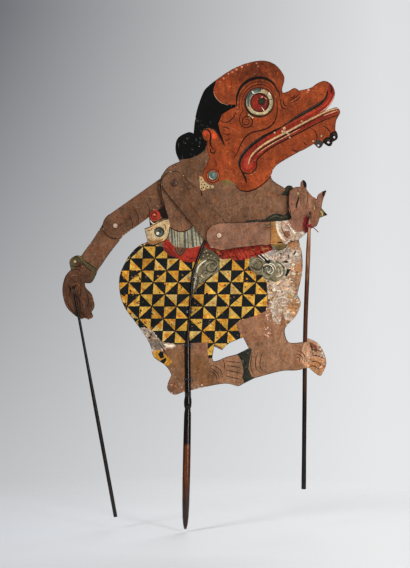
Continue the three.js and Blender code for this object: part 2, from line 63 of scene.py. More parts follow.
def linear(*rgb):
    """A colour as it is seen, 0 to 255, as Blender's linear colour."""
    shares = [c / 255 for c in rgb]
    return [s / 12.92 if s <= 0.04045 else ((s + 0.055) / 1.055) ** 2.4 for s in shares] + [1]


class Tree:
    """The nodes of a material or of the world, with short ways to add and join them."""

    def __init__(self, owner):
        owner.use_nodes = True
        self.owner = owner
        self.nodes, self.links = owner.node_tree.nodes, owner.node_tree.links

    def set(self, socket, value):
        if isinstance(value, bpy.types.NodeSocket):
            self.links.new(value, socket)
        else:
            socket.default_value = value

    def add(self, kind, inputs=None, **settings):
        node = self.nodes.new(kind)
        for name, value in settings.items():
            setattr(node, name, value)
        for name, value in (inputs or {}).items():
            self.set(node.inputs[name], value)
        return node

    def finish(self, specular=0.5, **inputs):
        """Set the material's shader, and return the material."""
        shader = self.nodes["Principled BSDF"]
        shader.inputs["Specular IOR Level"].default_value = specular
        for name, value in inputs.items():
            self.set(shader.inputs[name.replace("_", " ")], value)
        return self.owner

    def coordinates(self, stretch=(1, 1, 1), turn=0, origin=(0, 0, 0)):
        """The piece's own coordinates in millimetres, stretched and turned in the figure's plane."""
        source = self.add("ShaderNodeTexCoord").outputs["Object"]
        inputs = {
            "Vector": source,
            "Location": [-o for o in origin],
            "Rotation": (0, turn, 0),
            "Scale": [1 / MM / s for s in stretch],
        }
        return self.add("ShaderNodeMapping", inputs).outputs[0]

    def noise(self, size, detail=3, rough=0.55, stretch=(1, 1, 1), turn=0, distortion=0):
        """Cloudy noise from 0 to 1 whose patches are about this many millimetres across."""
        inputs = {
            "Vector": self.coordinates(stretch, turn),
            "Scale": 1 / size,
            "Detail": detail,
            "Roughness": rough,
            "Distortion": distortion,
        }
        return self.add("ShaderNodeTexNoise", inputs).outputs["Fac"]

    def specks(self, size, radius, share):
        """Round specks on a cell size, as a factor: radius and share are parts of a cell and of all."""
        inputs = {"Vector": self.coordinates(), "Scale": 1 / size}
        cells = self.add("ShaderNodeTexVoronoi", inputs)
        chance = self.add("ShaderNodeSeparateColor", {"Color": cells.outputs["Color"]}).outputs[0]
        near = self.spread(cells.outputs["Distance"], radius * 0.6, radius, 1, 0)
        return self.times(near, self.math("LESS_THAN", chance, share))

    def attribute(self, name):
        return self.add("ShaderNodeAttribute", attribute_name=name)

    def spread(self, value, low, high, to_low=0, to_high=1):
        inputs = {"Value": value, "From Min": low, "From Max": high, "To Min": to_low, "To Max": to_high}
        return self.add("ShaderNodeMapRange", inputs, clamp=True).outputs[0]

    def mix(self, factor, a, b, blend="MIX"):
        inputs = {0: factor, 6: a, 7: b}
        return self.add("ShaderNodeMix", inputs, data_type="RGBA", blend_type=blend).outputs[2]

    def tinted(self, factor, tone, colour):
        """A tone multiplied by a colour as far as the factor says."""
        return self.mix(factor, tone, colour, "MULTIPLY")

    def scaled(self, colour, value):
        return self.add("ShaderNodeVectorMath", {0: colour, "Scale": value}, operation="SCALE").outputs[0]

    def math(self, operation, a, b=0):
        return self.add("ShaderNodeMath", {0: a, 1: b}, operation=operation).outputs[0]

    def times(self, a, b):
        return self.math("MULTIPLY", a, b)

    def plus(self, a, b):
        return self.math("ADD", a, b)

    def bump(self, height, depth, under=None):
        inputs = {"Height": height, "Distance": depth * MM}
        if under is not None:
            inputs["Normal"] = under
        return self.add("ShaderNodeBump", inputs).outputs[0]


def new_look(name):
    return Tree(bpy.data.materials.new(name))


def hide_paint():
    """Old paint on hide. The attribute paint holds each area's colour and how worn it is, shade its
    painted light and shade, stain its ochre stains, and edge is 1 on a sheet's rim. Over them lie
    clouds, brush streaks, rubbed dirt, scratches, specks, flakes that bare the ground and the hide,
    and the drawn line at the rim."""
    tree = new_look("painted_hide")
    paint = tree.attribute("paint")
    edge = tree.attribute("edge").outputs["Fac"]
    stain = tree.attribute("stain").outputs["Fac"]
    cloud = tree.noise(22, detail=5, rough=0.62)
    blotch = tree.noise(6, detail=6, rough=0.72, distortion=0.7)
    grain = tree.noise(1.6, detail=3, rough=0.6)
    brush = tree.noise(4, detail=3, stretch=(1, 1, 5), turn=0.55, distortion=0.5)
    # The shade attribute is painted light and shade, from soft spots on each sheet
    shade = tree.attribute("shade").outputs["Fac"]
    light = tree.times(tree.spread(cloud, 0.34, 0.66, 0.7, 1.26), shade)
    light = tree.times(light, tree.spread(brush, 0.35, 0.65, 1.14, 0.86))
    light = tree.times(light, tree.spread(grain, 0.32, 0.68, 0.72, 1.3))
    tone = tree.scaled(paint.outputs["Color"], light)
    tone = tree.tinted(tree.spread(tree.noise(9, detail=5), 0.5, 0.66, 0, 0.7), tone, (1.12, 0.84, 0.6, 1))
    tone = tree.tinted(tree.spread(blotch, 0.52, 0.68, 0, 0.8), tone, (0.5, 0.44, 0.4, 1))
    tone = tree.tinted(tree.spread(tree.noise(2.6, detail=4), 0.52, 0.66, 0, 0.5), tone, (0.7, 0.55, 0.45, 1))
    stained = tree.times(stain, tree.spread(tree.noise(5, detail=5, rough=0.7), 0.36, 0.6, 0.2, 1))
    tone = tree.tinted(stained, tone, (1.22, 0.86, 0.42, 1))
    scratch = tree.noise(1.1, detail=2, stretch=(1, 1, 9), turn=0.8)
    scratched = tree.times(tree.spread(scratch, 0.66, 0.72), tree.spread(cloud, 0.48, 0.62, 0, 0.4))
    tone = tree.mix(scratched, tone, linear(160, 130, 104))
    tone = tree.mix(tree.specks(4.6, 0.13, 0.07), tone, linear(196, 172, 146))
    tone = tree.tinted(tree.specks(2.7, 0.22, 0.25), tone, (0.3, 0.26, 0.24, 1))

    flake = tree.noise(2.4, detail=6, rough=0.74)
    where = tree.noise(15, detail=2)
    cut = tree.plus(tree.times(flake, 0.72), tree.times(where, 0.36))
    cut = tree.plus(cut, tree.times(paint.outputs["Alpha"], 0.4))
    cut = tree.plus(cut, tree.times(edge, tree.spread(where, 0.42, 0.62, 0, 0.14)))
    gone = tree.spread(cut, 0.715, 0.735)
    rim = tree.math("SUBTRACT", tree.spread(cut, 0.7, 0.712), gone)
    drawn = tree.plus(edge, tree.spread(grain, 0.3, 0.7, -0.3, 0.3))
    tone = tree.mix(tree.spread(drawn, 0.3, 0.7, 0, 0.85), tone, linear(30, 19, 14))
    tone = tree.mix(tree.times(rim, 0.5), tone, linear(50, 34, 26))
    soft = tree.spread(tree.noise(3, detail=5, rough=0.7), 0.42, 0.56)
    ground = tree.mix(soft, linear(232, 216, 198), linear(172, 134, 102))
    ground = tree.mix(tree.spread(tree.noise(7, detail=3), 0.54, 0.64, 0, 0.7), ground, linear(150, 138, 126))
    rosy = tree.noise(5, detail=3, distortion=0.5)
    ground = tree.mix(tree.spread(rosy, 0.55, 0.63, 0, 0.7), ground, linear(198, 146, 122))
    ground = tree.mix(tree.spread(tree.noise(1.3, detail=3), 0.57, 0.66, 0, 0.85), ground, linear(70, 52, 44))
    tone = tree.mix(gone, tone, ground)

    rough = tree.math("MAXIMUM", tree.spread(cloud, 0.3, 0.7, 0.46, 0.68), tree.times(gone, 0.8))
    relief = tree.bump(tree.noise(34, detail=1), 1.2)
    relief = tree.bump(brush, 0.1, under=relief)
    relief = tree.bump(grain, 0.05, under=relief)
    relief = tree.bump(gone, -0.07, under=relief)
    return tree.finish(0.1, Base_Color=tone, Roughness=rough, Normal=relief)


def horn(name, bands, share, rough, coat, shaded_on_left=False):
    """Polished horn: long warm streaks in a dark body under fine scratches, with painted shade towards its
    sides, or towards its left side only. From the lowest band up, each band gives where it begins and
    how softly, in mm, and its dark and its warm colour."""
    tree = new_look(name)
    streaks = tree.noise(2.4, detail=4, stretch=(1, 1, 22), distortion=0.6)
    cloud = tree.noise(26, detail=4, stretch=(1, 1, 2))
    scratch = tree.noise(0.8, detail=3, stretch=(1, 1, 14))
    height = tree.add("ShaderNodeSeparateXYZ", {"Vector": tree.coordinates()}).outputs["Z"]
    wavy = tree.plus(height, tree.spread(cloud, 0.3, 0.7, -9, 9))
    streaked = tree.spread(streaks, 0.42, 0.66, 0, share)
    tone = linear(0, 0, 0)
    for begins, soft, dark, warm in bands:
        here = tree.mix(streaked, linear(*dark), linear(*warm))
        tone = tree.mix(tree.spread(wavy, begins - soft, begins + soft), tone, here)
    side = tree.attribute("side").outputs["Fac"]
    # Painted shade: darker on the side that looks to the left, or on both sides
    if shaded_on_left:
        shaded = tree.spread(side, -0.1, -0.8)
    else:
        shaded = tree.spread(tree.math("ABSOLUTE", side), 0.55, 0.95)
    tone = tree.tinted(tree.times(shaded, 0.9), tone, (0.2, 0.14, 0.12, 1))
    tone = tree.scaled(tone, tree.spread(cloud, 0.34, 0.66, 0.72, 1.2))
    tone = tree.tinted(tree.specks(3.2, 0.2, 0.1), tone, (0.25, 0.2, 0.18, 1))
    roughness = tree.spread(scratch, 0.3, 0.7, rough, rough + 0.15)
    relief = tree.bump(scratch, 0.02)
    looks = {"Base_Color": tone, "Roughness": roughness, "Normal": relief}
    return tree.finish(0.25, **looks, Coat_Weight=coat, Coat_Roughness=0.12)


def pin_look(name, centre, light, shade, dark_rings):
    """A pin's head: cloudy and porous, with dark rings of these radii and widths in mm: the outermost
    is a painted shadow round the head, the others are turned lines.
    """
    light, shade = linear(*light), linear(*shade)
    tree = new_look(name)
    place_of = tree.coordinates(origin=(centre[0], 0, centre[1]))
    flat = tree.add("ShaderNodeVectorMath", {0: place_of, 1: (1, 0, 1)}, operation="MULTIPLY").outputs[0]
    reach = tree.add("ShaderNodeVectorMath", {0: flat}, operation="LENGTH").outputs["Value"]
    cloud = tree.noise(1.8, detail=4)
    pores = tree.noise(0.5, detail=2, stretch=(1, 1, 3))
    tone = tree.mix(tree.spread(cloud, 0.38, 0.64), light, shade)
    tone = tree.mix(tree.spread(pores, 0.58, 0.7, 0, 0.5), tone, [c * 0.4 for c in shade[:3]] + [1])
    # Dark rings: turned lines, the outermost a painted shadow round the head
    for radius, width in dark_rings:
        away = tree.math("ABSOLUTE", tree.math("SUBTRACT", reach, radius))
        tone = tree.mix(tree.spread(away, width, width * 0.5, 0, 0.85), tone, linear(34, 20, 14))
    rough = tree.spread(cloud, 0.3, 0.7, 0.26, 0.46)
    return tree.finish(Base_Color=tone, Roughness=rough, Normal=tree.bump(pores, 0.04))


def thread_look(name, colour, shade, turns=0.9):
    """Twisted thread: strands across its turns, dirt, and fluff."""
    tree = new_look(name)
    strand = tree.noise(0.45, detail=2, stretch=(2.2, 2.2, 1), turn=0.4)
    cloud = tree.noise(3, detail=3)
    wave = {"Vector": tree.coordinates(), "Scale": 0.31 / turns, "Distortion": 0.6, "Detail": 1.0}
    turn = tree.add("ShaderNodeTexWave", wave, bands_direction="Z").outputs["Fac"]
    tone = tree.mix(tree.spread(strand, 0.38, 0.64), colour, shade)
    tone = tree.mix(tree.spread(cloud, 0.45, 0.7, 0, 0.55), tone, shade)
    tone = tree.scaled(tone, tree.spread(turn, 0, 1, 0.6, 1.15))
    relief = tree.bump(strand, 0.1, under=tree.bump(turn, 0.2))
    return tree.finish(0.2, Base_Color=tone, Roughness=0.85, Normal=relief, Sheen_Weight=0.3)


def raw_hide_look():
    tree = new_look("raw_hide")
    cloud = tree.noise(5, detail=4)
    pores = tree.noise(0.8, detail=3)
    tone = tree.mix(tree.spread(cloud, 0.38, 0.64), linear(170, 134, 94), linear(116, 82, 54))
    tone = tree.mix(tree.spread(pores, 0.56, 0.7, 0, 0.5), tone, linear(70, 46, 30))
    rough = tree.spread(cloud, 0.3, 0.7, 0.6, 0.8)
    return tree.finish(0.3, Base_Color=tone, Roughness=rough, Normal=tree.bump(pores, 0.08))


# Tones of the painted areas: red, green and blue, 0 to 255, and the share that is worn away
# The skin tones of arm, rear_arm, rear_hand and rear_leg are darker than those of forearm, hand, thigh and
# leg partly as painted shade, with light from the right
TONES = """
body 124,89,66,0.03 / neck 112,80,58,0.03 / arm 108,76,55,0.02 / forearm 143,103,82,0.02 /
hand 140,98,78,0.03 / rear_arm 110,76,55,0.02 / rear_hand 92,62,44,0.03 / thigh 156,111,82,0.05 /
leg 150,110,82,0.07 / rear_leg 134,98,70,0.07 / scroll_pale 150,142,120,0.3 / worn_brown 120,82,46,0.2 /
dim_grey 128,116,102,0.35 / rust 132,84,64,0.06 / shin 142,100,74,0.06 / heel 132,96,72,0.2 /
toes 200,152,118,0.2 / face 148,67,32,0.02 / ear 200,74,38,0.02 / face_deep 128,60,32,0.02 /
face_pale 168,84,46,0.05 / hair 6,7,6,0 / hair_grey 44,48,46,0 / ink 30,20,16,0 / brown_ink 54,22,14,0 /
faint 104,46,25,0 / grey_ink 66,58,52,0.02 / lip 140,42,27,0 / lip_bright 172,60,40,0 / pink 216,152,126,0 /
blush 226,194,172,0.05 / cream 206,178,134,0 / bright 236,226,204,0 / white_ring 184,170,134,0.02 /
teal 84,98,92,0.02 / steel 112,124,124,0.02 / iris 112,38,32,0 / iris_dark 64,16,14,0 / pupil 34,48,30,0 /
green 78,112,92,0 / yellow 215,169,70,0.02 / gold 201,144,49,0.03 / amber 198,126,38,0.03 /
straw 209,175,100,0.05 / dark 24,28,30,0.02 / sash 164,50,37,0.04 / sash_dark 122,42,34,0.05 /
scroll 122,114,88,0.12 / scroll_dark 88,84,66,0.08 / stripe 84,92,84,0.04 / pale_stripe 166,158,132,0.05 /
web 46,48,38,0.02 / slate 44,52,48,0.03 / olive 112,96,56,0.05 / dim_olive 84,74,50,0.05 /
ochre 164,118,68,0.06 / worn 190,160,130,0.5 / bare 212,188,162,0.62 / grey 172,162,154,0.46 /
orange 182,132,90,0.3 / peach 222,184,150,0.3 / cut 104,74,52,0.02
"""


def numbers(word):
    return [float(number) for number in word.split(",")]


def tone_colours():
    """Each tone's linear colour, with its worn share as the fourth value."""
    pairs = [entry.split() for entry in TONES.split("/")]
    rows = {name: numbers(row) for name, row in pairs}
    return {name: linear(*row[:3])[:3] + [row[3]] for name, row in rows.items()}


# Drawing


def smooth(points, closed=False, steps=STEPS):
    """A smooth line through these points."""
    count = len(points)
    if count < 3:
        return [Vector(p) for p in points]
    found = []
    for i in range(count if closed else count - 1):
        if closed:
            a, b, c, d = (Vector(points[(i + k) % count]) for k in (-1, 0, 1, 2))
        else:
            a, b, c, d = (Vector(points[min(max(i + k, 0), count - 1)]) for k in (-1, 0, 1, 2))
        for s in range(steps):
            t = s / steps
            bend = (c - a) * t + (2 * a - 5 * b + 4 * c - d) * t**2 + (3 * b - a - 3 * c + d) * t**3
            found.append(b + bend / 2)
    if not closed:
        found.append(Vector(points[-1]))
    return found


def along(points, step):
    """Points spaced evenly along a closed loop."""
    found = []
    for p, q in zip(points, points[1:] + points[:1]):
        pieces = max(1, round((q - p).length / step))
        found += [p.lerp(q, i / pieces) for i in range(pieces)]
    return found


class Painting:
    """Areas of paint for one sheet, in the order in which they are laid on, and its soft painted light and
    shade.
    """

    def __init__(self, base):
        self.base = base
        self.laid = []
        self.named = {}
        self.spots = {"shade": [], "stain": []}

    def draw(self, text):
        """Lay on what a text lists. A command begins its line and goes on over the indented lines
        below it. These are the commands, with each point as u,v and a slash from shape to shape:
            area, curved or patch TONE points
            line TONE WIDTH ENDS points
            disc TONE SIDES u,v,radius
            spiral TONE u,v,radius,turns,width,start,inner
            flecks TONES box COUNT RADIUS LEAN AREA, where AREA is a name, or - for none
            shade u,v,radius,gain for soft painted light and shade, and stain u,v,radius,gain for ochre stains
        A name and an equals sign before a command name its area."""
        for command in re.split(r"\n(?=\S)", text.strip()):
            if command[0] == "#":
                continue
            words = command.split()
            name = words[0] if words[1] == "=" else None
            kind, *words = words[2:] if name else words
            if kind in self.spots:
                self.spots[kind] += [numbers(w) for w in words]
                continue
            tone, *words = words
            if kind == "flecks":
                box, count, radius, lean, kept_to = words
                area = None if kept_to == "-" else self.named[kept_to]
                self.flecks(tone.split(","), numbers(box), int(count), float(radius), float(lean), area)
                continue
            settings = [float(w) for w in words if "," not in w and w != "/"]
            for shape in " ".join(w for w in words if "," in w or w == "/").split("/"):
                number = self.lay(kind, tone, settings, [numbers(w) for w in shape.split()])
                if name:
                    self.named[name] = number

    def lay(self, kind, tone, settings, points):
        """One shape of a command. Returns the number of its area."""
        if kind == "line":
            return self.line(tone, points, *settings)
        if kind == "disc":
            return [self.disc(tone, (u, v), radius, int(settings[0])) for u, v, radius in points]
        if kind == "spiral":
            return [self.spiral(tone, (u, v), *how) for u, v, *how in points]
        if kind == "patch":
            return self.patch(tone, points)
        return self.area(tone, points, curved=kind == "curved")

    def area(self, tone, points, curved=False, kept_to=None):
        """An area of paint, only where it lies in the area of this number. Returns its own number."""
        shape = smooth(points, closed=True) if curved else [Vector(p) for p in points]
        self.laid.append((tone, shape, kept_to))
        return len(self.laid) - 1

    def patch(self, tone, points):
        """An area whose edge is as uneven as worn paint."""
        path = along(smooth(points, closed=True), PATCH_STEP)
        moves = [Vector((chance.uniform(-1, 1), chance.uniform(-1, 1))) * RAGGED for _ in path]
        return self.area(tone, [p + move for p, move in zip(path, moves)])

    def flecks(self, tones, box, count, radius, lean, kept_to):
        """Flecks of these tones strewn over a box, from u, v to u, v. lean is the way that they run."""
        for _ in range(count):
            centre = Vector((chance.uniform(box[0], box[2]), chance.uniform(box[1], box[3])))
            length = radius * chance.uniform(0.35, 1)
            turn = lean + chance.uniform(-0.9, 0.9)
            along_it = Vector((math.cos(turn), math.sin(turn)))
            across_it = Vector((-math.sin(turn), math.cos(turn)))
            slim = chance.uniform(0.25, 0.8)
            corners = [2 * math.pi * (k + chance.uniform(-0.3, 0.3)) / 6 for k in range(6)]
            ways = [along_it * math.cos(c) + across_it * math.sin(c) * slim for c in corners]
            self.area(chance.choice(tones), [centre + way * length for way in ways], kept_to=kept_to)

    def line(self, tone, points, width, ends):
        """A stroke. ends is the share of its width that is left at its two ends."""
        path = smooth(points)
        last = len(path) - 1
        sides = []
        for i, p in enumerate(path):
            ahead = (path[min(i + 1, last)] - path[max(i - 1, 0)]).normalized()
            taper = ends + (1 - ends) * math.sin(math.pi * i / last)
            across = Vector((-ahead.y, ahead.x)) * (width * taper / 2)
            sides.append((p - across, p + across))
        for (a, b), (c, d) in zip(sides, sides[1:]):
            self.area(tone, [a, c, d, b])

    def disc(self, tone, centre, radius, sides):
        angles = [2 * math.pi * i / sides for i in range(sides)]
        self.area(tone, [Vector(centre) + radius * Vector((math.cos(a), math.sin(a))) for a in angles])

    def spiral(self, tone, centre, radius, turns, width, start, inner):
        steps = int(turns * 10)
        points = []
        for i in range(steps + 1):
            angle = start + 2 * math.pi * turns * i / steps
            reach = radius * (1 - (1 - inner) * i / steps)
            points.append(Vector(centre) + reach * Vector((math.cos(angle), math.sin(angle))))
        self.line(tone, points, width, 0.6)

    def softness(self, kind, point):
        """How much of all soft spots of a kind reaches a point in metres."""
        u, v = point.x / SQUARE + ROD_POINT[0], ROD_POINT[1] - point.y / SQUARE
        spots = self.spots[kind]
        return sum(gain * math.exp(-((u - cu) ** 2 + (v - cv) ** 2) / r**2) for cu, cv, r, gain in spots)


# Sheets

BEVEL = 0.22 * MM  # how much the edges of a sheet are rounded
RIM = 1.5 * MM  # how far in from an edge its drawn line reaches
INNER_STEP = 4 * MM  # between the points that are laid inside a sheet


def area_of(points):
    return sum(p.x * q.y - q.x * p.y for p, q in zip(points, points[1:] + points[:1])) / 2


def counterclockwise(points):
    return points if area_of(points) > 0 else points[::-1]


def loops_of(node):
    """The outline and the holes of a flat node, from its front face, with its front and back."""
    bm = bmesh.new()
    bm.from_mesh(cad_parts[node].data)
    bmesh.ops.remove_doubles(bm, verts=bm.verts, dist=1e-6)
    bm.normal_update()

    def in_front(face):
        return face.normal.y < -0.9

    following = {}
    for face in filter(in_front, bm.faces):
        for loop in face.loops:
            if sum(map(in_front, loop.edge.link_faces)) == 1:
                following[loop.vert] = loop.link_loop_next.vert
    loops = []
    while following:
        vert = next(iter(following))
        loop = []
        while vert in following:
            loop.append(Vector((vert.co.x, vert.co.z)))
            vert = following.pop(vert)
        loops.append(loop)
    depths = [v.co.y for v in bm.verts]
    bm.free()
    loops.sort(key=lambda points: -abs(area_of(points)))
    return loops, min(depths), max(depths)


def inward(points, distance):
    """The points of a counterclockwise loop, each moved to its left by this distance."""
    moved = []
    count = len(points)
    for i, p in enumerate(points):
        ahead = (points[(i + 1) % count] - points[i - 1]).normalized()
        moved.append(p + Vector((-ahead.y, ahead.x)) * distance)
    return moved


def painted_sheet(node, painting):
    """The hide of a CAD node with its painting on both faces."""
    loops, low, high = loops_of(node)
    outline = counterclockwise(loops[0])
    holes = [counterclockwise(h) for h in loops[1:]]
    points, faces = [], []

    def give(polygon):
        faces.append(list(range(len(points), len(points) + len(polygon))))
        points.extend(polygon)

    give(outline)
    for hole in holes:
        give(hole)
    laid, face_of = [], {}
    for number, (tone, polygon, kept_to) in enumerate(painting.laid):
        polygon = counterclockwise([place(p) for p in polygon])
        if area_of(polygon) > 1e-9:
            face_of[number] = len(faces)
            laid.append((tone, kept_to))
            give(polygon)
    points += inward(along(outline, RIM), RIM)
    for hole in holes:
        points += inward(along(hole, RIM), -RIM)
    lows = [min(p[k] for p in outline) for k in (0, 1)]
    highs = [max(p[k] for p in outline) for k in (0, 1)]
    for i in range(int((highs[0] - lows[0]) / INNER_STEP)):
        for j in range(int((highs[1] - lows[1]) / INNER_STEP)):
            inner = [low_end + (k + 0.5) * INNER_STEP for low_end, k in zip(lows, (i, j))]
            points.append(Vector(inner))
    verts, _, triangles, _, _, origins = delaunay_2d_cdt(points, [], faces, 0, 1e-7)

    first = 1 + len(holes)

    def within(number, origin):
        """Whether a triangle lies in this area, and in each area that this one is kept to."""
        while number is not None:
            if face_of.get(number) not in origin:
                return False
            number = laid[face_of[number] - first][1]
        return True

    def top_tone(origin):
        for k in sorted(origin, reverse=True):
            if k >= first:
                tone, kept_to = laid[k - first]
                if within(kept_to, origin):
                    return tone
        return painting.base

    kept = []
    for triangle, origin in zip(triangles, origins):
        if 0 in origin and not any(1 <= k < first for k in origin):
            kept.append((triangle, top_tone(origin)))

    sides = {(a, b) for triangle, _ in kept for a, b in zip(triangle, triangle[1:] + triangle[:1])}
    rim = [(a, b) for a, b in sides if (b, a) not in sides]
    inset = {}
    for a, b in rim:
        across = (verts[b] - verts[a]).normalized()
        for k in (a, b):
            inset[k] = inset.get(k, Vector((0, 0))) + Vector((-across.y, across.x))
    mesh_points, numbers, edge, shade, stain = [], {}, [], [], []
    rows = {"front": low, "front_edge": low + BEVEL, "back_edge": high - BEVEL, "back": high}
    for row, y in rows.items():
        for k in sorted({k for triangle, _ in kept for k in triangle}):
            if "edge" in row and k not in inset:
                continue
            p = verts[k]
            # painted light and shade at this point, from the painting's shade spots
            shade.append(1 + painting.softness("shade", p))
            stain.append(painting.softness("stain", p))
            edge.append(1.0 if k in inset else 0.0)
            if k in inset and "edge" not in row:
                p = p + inset[k].normalized() * BEVEL
            numbers[row, k] = len(mesh_points)
            mesh_points.append((p.x, y, p.y))
    mesh_faces, colours = [], []
    colour_of = tone_colours()
    for triangle, tone in kept:
        mesh_faces.append([numbers["front", k] for k in triangle])
        mesh_faces.append([numbers["back", k] for k in reversed(triangle)])
        colours += colour_of[tone] * 6
    names = list(rows)
    for a, b in rim:
        for near, far in zip(names, names[1:]):
            mesh_faces.append([numbers[near, b], numbers[near, a], numbers[far, a], numbers[far, b]])
            colours += colour_of["cut"] * 4
    mesh = bpy.data.meshes.new(node + "_painted")
    mesh.from_pydata(mesh_points, [], mesh_faces)
    mesh.materials.append(HIDE_PAINT)
    mesh.attributes.new("paint", "FLOAT_COLOR", "CORNER").data.foreach_set("color", colours)
    for name, values in (("edge", edge), ("shade", shade), ("stain", stain)):
        mesh.attributes.new(name, "FLOAT", "POINT").data.foreach_set("value", values)
    mesh.update()
    piece = bpy.data.objects.new(node + "_painted", mesh)
    bpy.context.scene.collection.objects.link(piece)
    return piece


def dress(node, piece, body):
    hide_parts(node)
    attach(piece, body)


HIDE_PAINT = hide_paint()

# The body's painting

CLOTH_COLUMNS = [
    105.4, 117.8, 130.2, 142.55, 154.9, 167.25, 179.6, 192.6,
    206.4, 219.5, 232.2, 244.85, 257.5, 270.1, 282.7,
]
CLOTH_ROWS = [234.3, 246.4, 258.5, 270.5, 282.3, 294.3, 306.4, 318.7, 331, 343.2, 355.4]
FIRST_COLUMN = -4  # counted from the pinwheel that the rest is laid out from
FIRST_ROW = -2
ROW_LEAN = 0.75  # how far each row is moved to the left of the one above
JOINT = 0.93  # a triangle's share of its place: the rest is the dark joint


def cloth_corner(i, j):
    return Vector((CLOTH_COLUMNS[i] - ROW_LEAN * (j + FIRST_ROW), CLOTH_ROWS[j]))


body = Painting("body")
# shade: soft spots of painted light and shade, lighter to the right, darker to the left and by the arms
body.draw("""
shade 172,172,14,-0.14 196,198,16,-0.1 192,162,10,-0.14 262,186,14,0.16 240,205,16,0.06 276,205,8,0.14
  256,65,18,-0.36 278,74,9,-0.2 248,76,12,-0.1 240,76,8,-0.16 226,86,8,0.12 263,121,8,0.22 300,99,14,0.05
  322,92,8,0.16 224,158,10,0.14 256,180,14,0.1 248,138,7,-0.2 330,122,8,-0.12 290,148,10,-0.1
  210,168,8,-0.12 285,350,22,0.1 196,372,14,-0.1 256,340,12,-0.06 150,300,26,-0.12 240,290,30,0.08
  290,110,12,-0.14 246,118,10,-0.1 232,70,6,0.12 238,158,7,-0.16 300,112,7,-0.14 318,84,7,0.08
  222,150,7,-0.12 283,156,7,-0.14 266,172,7,0.1 250,186,7,-0.14 218,128,6,-0.12 230,130,7,0.08
  305,147,6,-0.12 270,60,7,-0.1 280,92,5,-0.18 270,168,10,0.06 310,132,8,0.08 230,100,7,-0.1
stain 197,366,9,0.7 207,383,8,0.6 180,360,8,0.3 316,366,7,0.6 263,121,9,0.25 224,158,9,0.25 300,96,12,0.15
  256,182,12,0.25 226,84,8,0.2 172,384,7,0.3
# Legs and feet
area leg 196,341 240,334 236,322 247,317 262,311 268,304 284,306 287,326 290,340 330,335 335,385 190,400
area thigh 236,320 250,314 264,308 270,303 281,306 284,318 284,332 276,338 258,342 244,345 240,336
area rear_leg 150,343 190,341 209,341 209,362 214,372 222,392 160,400
area shin 190,342 208,341.5 208,349 205,356 198,354.5 191,356
heel = patch heel 162,374 172,372 178,378 183,386 183,396 162,398
flecks bare,pink,rust,leg 162,374,184,394 26 1.5 0.3 heel
patch heel 190,386 198,384 204,386 200,391 191,392
toes = area toes 305,338 313,338 330,350 330,382 318,382 306,368 301,361 302,350
patch orange 309,360 317,358 325,361 323,371 316,375 310,369
patch rust 309,343 314,344 318,349 315,352 311,349
patch bare 318,342 323,348 326,356 322,357 318,350
flecks bare,peach,blush,pink,leg,ochre,rust,worn,grey 303,338,328,380 110 2 -0.5 toes
web = area web 237,354 248,347 252,349.5 249.6,360 248.5,369 251.5,376 256,379 244,386 243.5,380 242,378
  243.5,372 242.5,365 240.5,359
flecks slate,slate,scroll_dark,ink 238,348,254,382 34 2.4 1.2 web
line brown_ink 0.8 0.35 262.5,352 260.3,360 260,366 262.6,371 / 258,351.5 255.7,360 256,368 260.5,372.6 /
  295.5,353.5 299.5,354.8 302.4,358 301.4,362.2 / 297,350.6 302,352.6 305,357 304,363 / 296.6,357
  299.4,358.4 299,361.6 / 308.6,341.5 311.6,347 312.4,355 / 308,367 314,366 320,370 / 310,361.4 317,362
  323,366 / 311.5,355 318,356 325,359 / 311,349 317,350 322,352 / 209.6,367.6 214.4,370.4 218.4,374.8
  219,380.4 / 210,370.6 214,373 216.6,376.6 216.4,380 / 211,365 217.6,367.6 221.4,372 222.4,378 /
  222.6,358.6 224.4,364 224.2,370 / 226,361 233,361.8 241,362.8 / 226,365.4 233,366.4 242.4,368.4 / 226,370
  233,371.4 242.8,373.6 / 225,375.6 232,377.4 242,379.4 / 229,355.6 233,354.6 236,356 / 252.6,352 251,360
  251,368 254.4,375.6
flecks blush,blush,pink 264.5,302,270.5,339 24 1.5 1.4 -
# Waist cloth: rows of squares, each cut by a diagonal, that make pinwheels
cloth = area dark 137,247.5 143,243.8 155,244.8 163,247 176,257 195,262 200,258 220,258 245,258 262,262
  263,277 266.5,283 267.3,300 266,311 257,315 250,317.5 243,319.5 236,323 238,330 243,337.5 236,341 229,345
  224,349.5 219,346 214.3,343.5 214,357 208.5,358.5 207.5,350 208,342.5 200,342.5 190,343.5 178,344.5
  165,342.5 158,338.5 153,331 145,331 136,326 112,309 110,270 126,256
""")
for j in range(len(CLOTH_ROWS) - 1):
    for i in range(len(CLOTH_COLUMNS) - 1):
        nw, ne = cloth_corner(i, j), cloth_corner(i + 1, j)
        sw, se = cloth_corner(i, j + 1), cloth_corner(i + 1, j + 1)
        even = (j + FIRST_ROW) % 2 == 0
        if (i + FIRST_COLUMN + j + FIRST_ROW) % 2 == 0:
            light = (nw, se, sw) if even else (nw, ne, se)
        else:
            light = (nw, ne, sw) if even else (ne, se, sw)
        middle = sum(light, Vector((0, 0))) / 3
        shown = [middle + (p - middle) * JOINT for p in light]
        tone = chance.choice(["yellow", "yellow", "straw", "gold"])
        tile = body.area(tone, shown, kept_to=body.named["cloth"])
        box = (middle.x - 3, middle.y - 3, middle.x + 3, middle.y + 3)
        body.flecks(["gold", "amber", "yellow", "straw"], box, 3, 3.4, 0.6, tile)
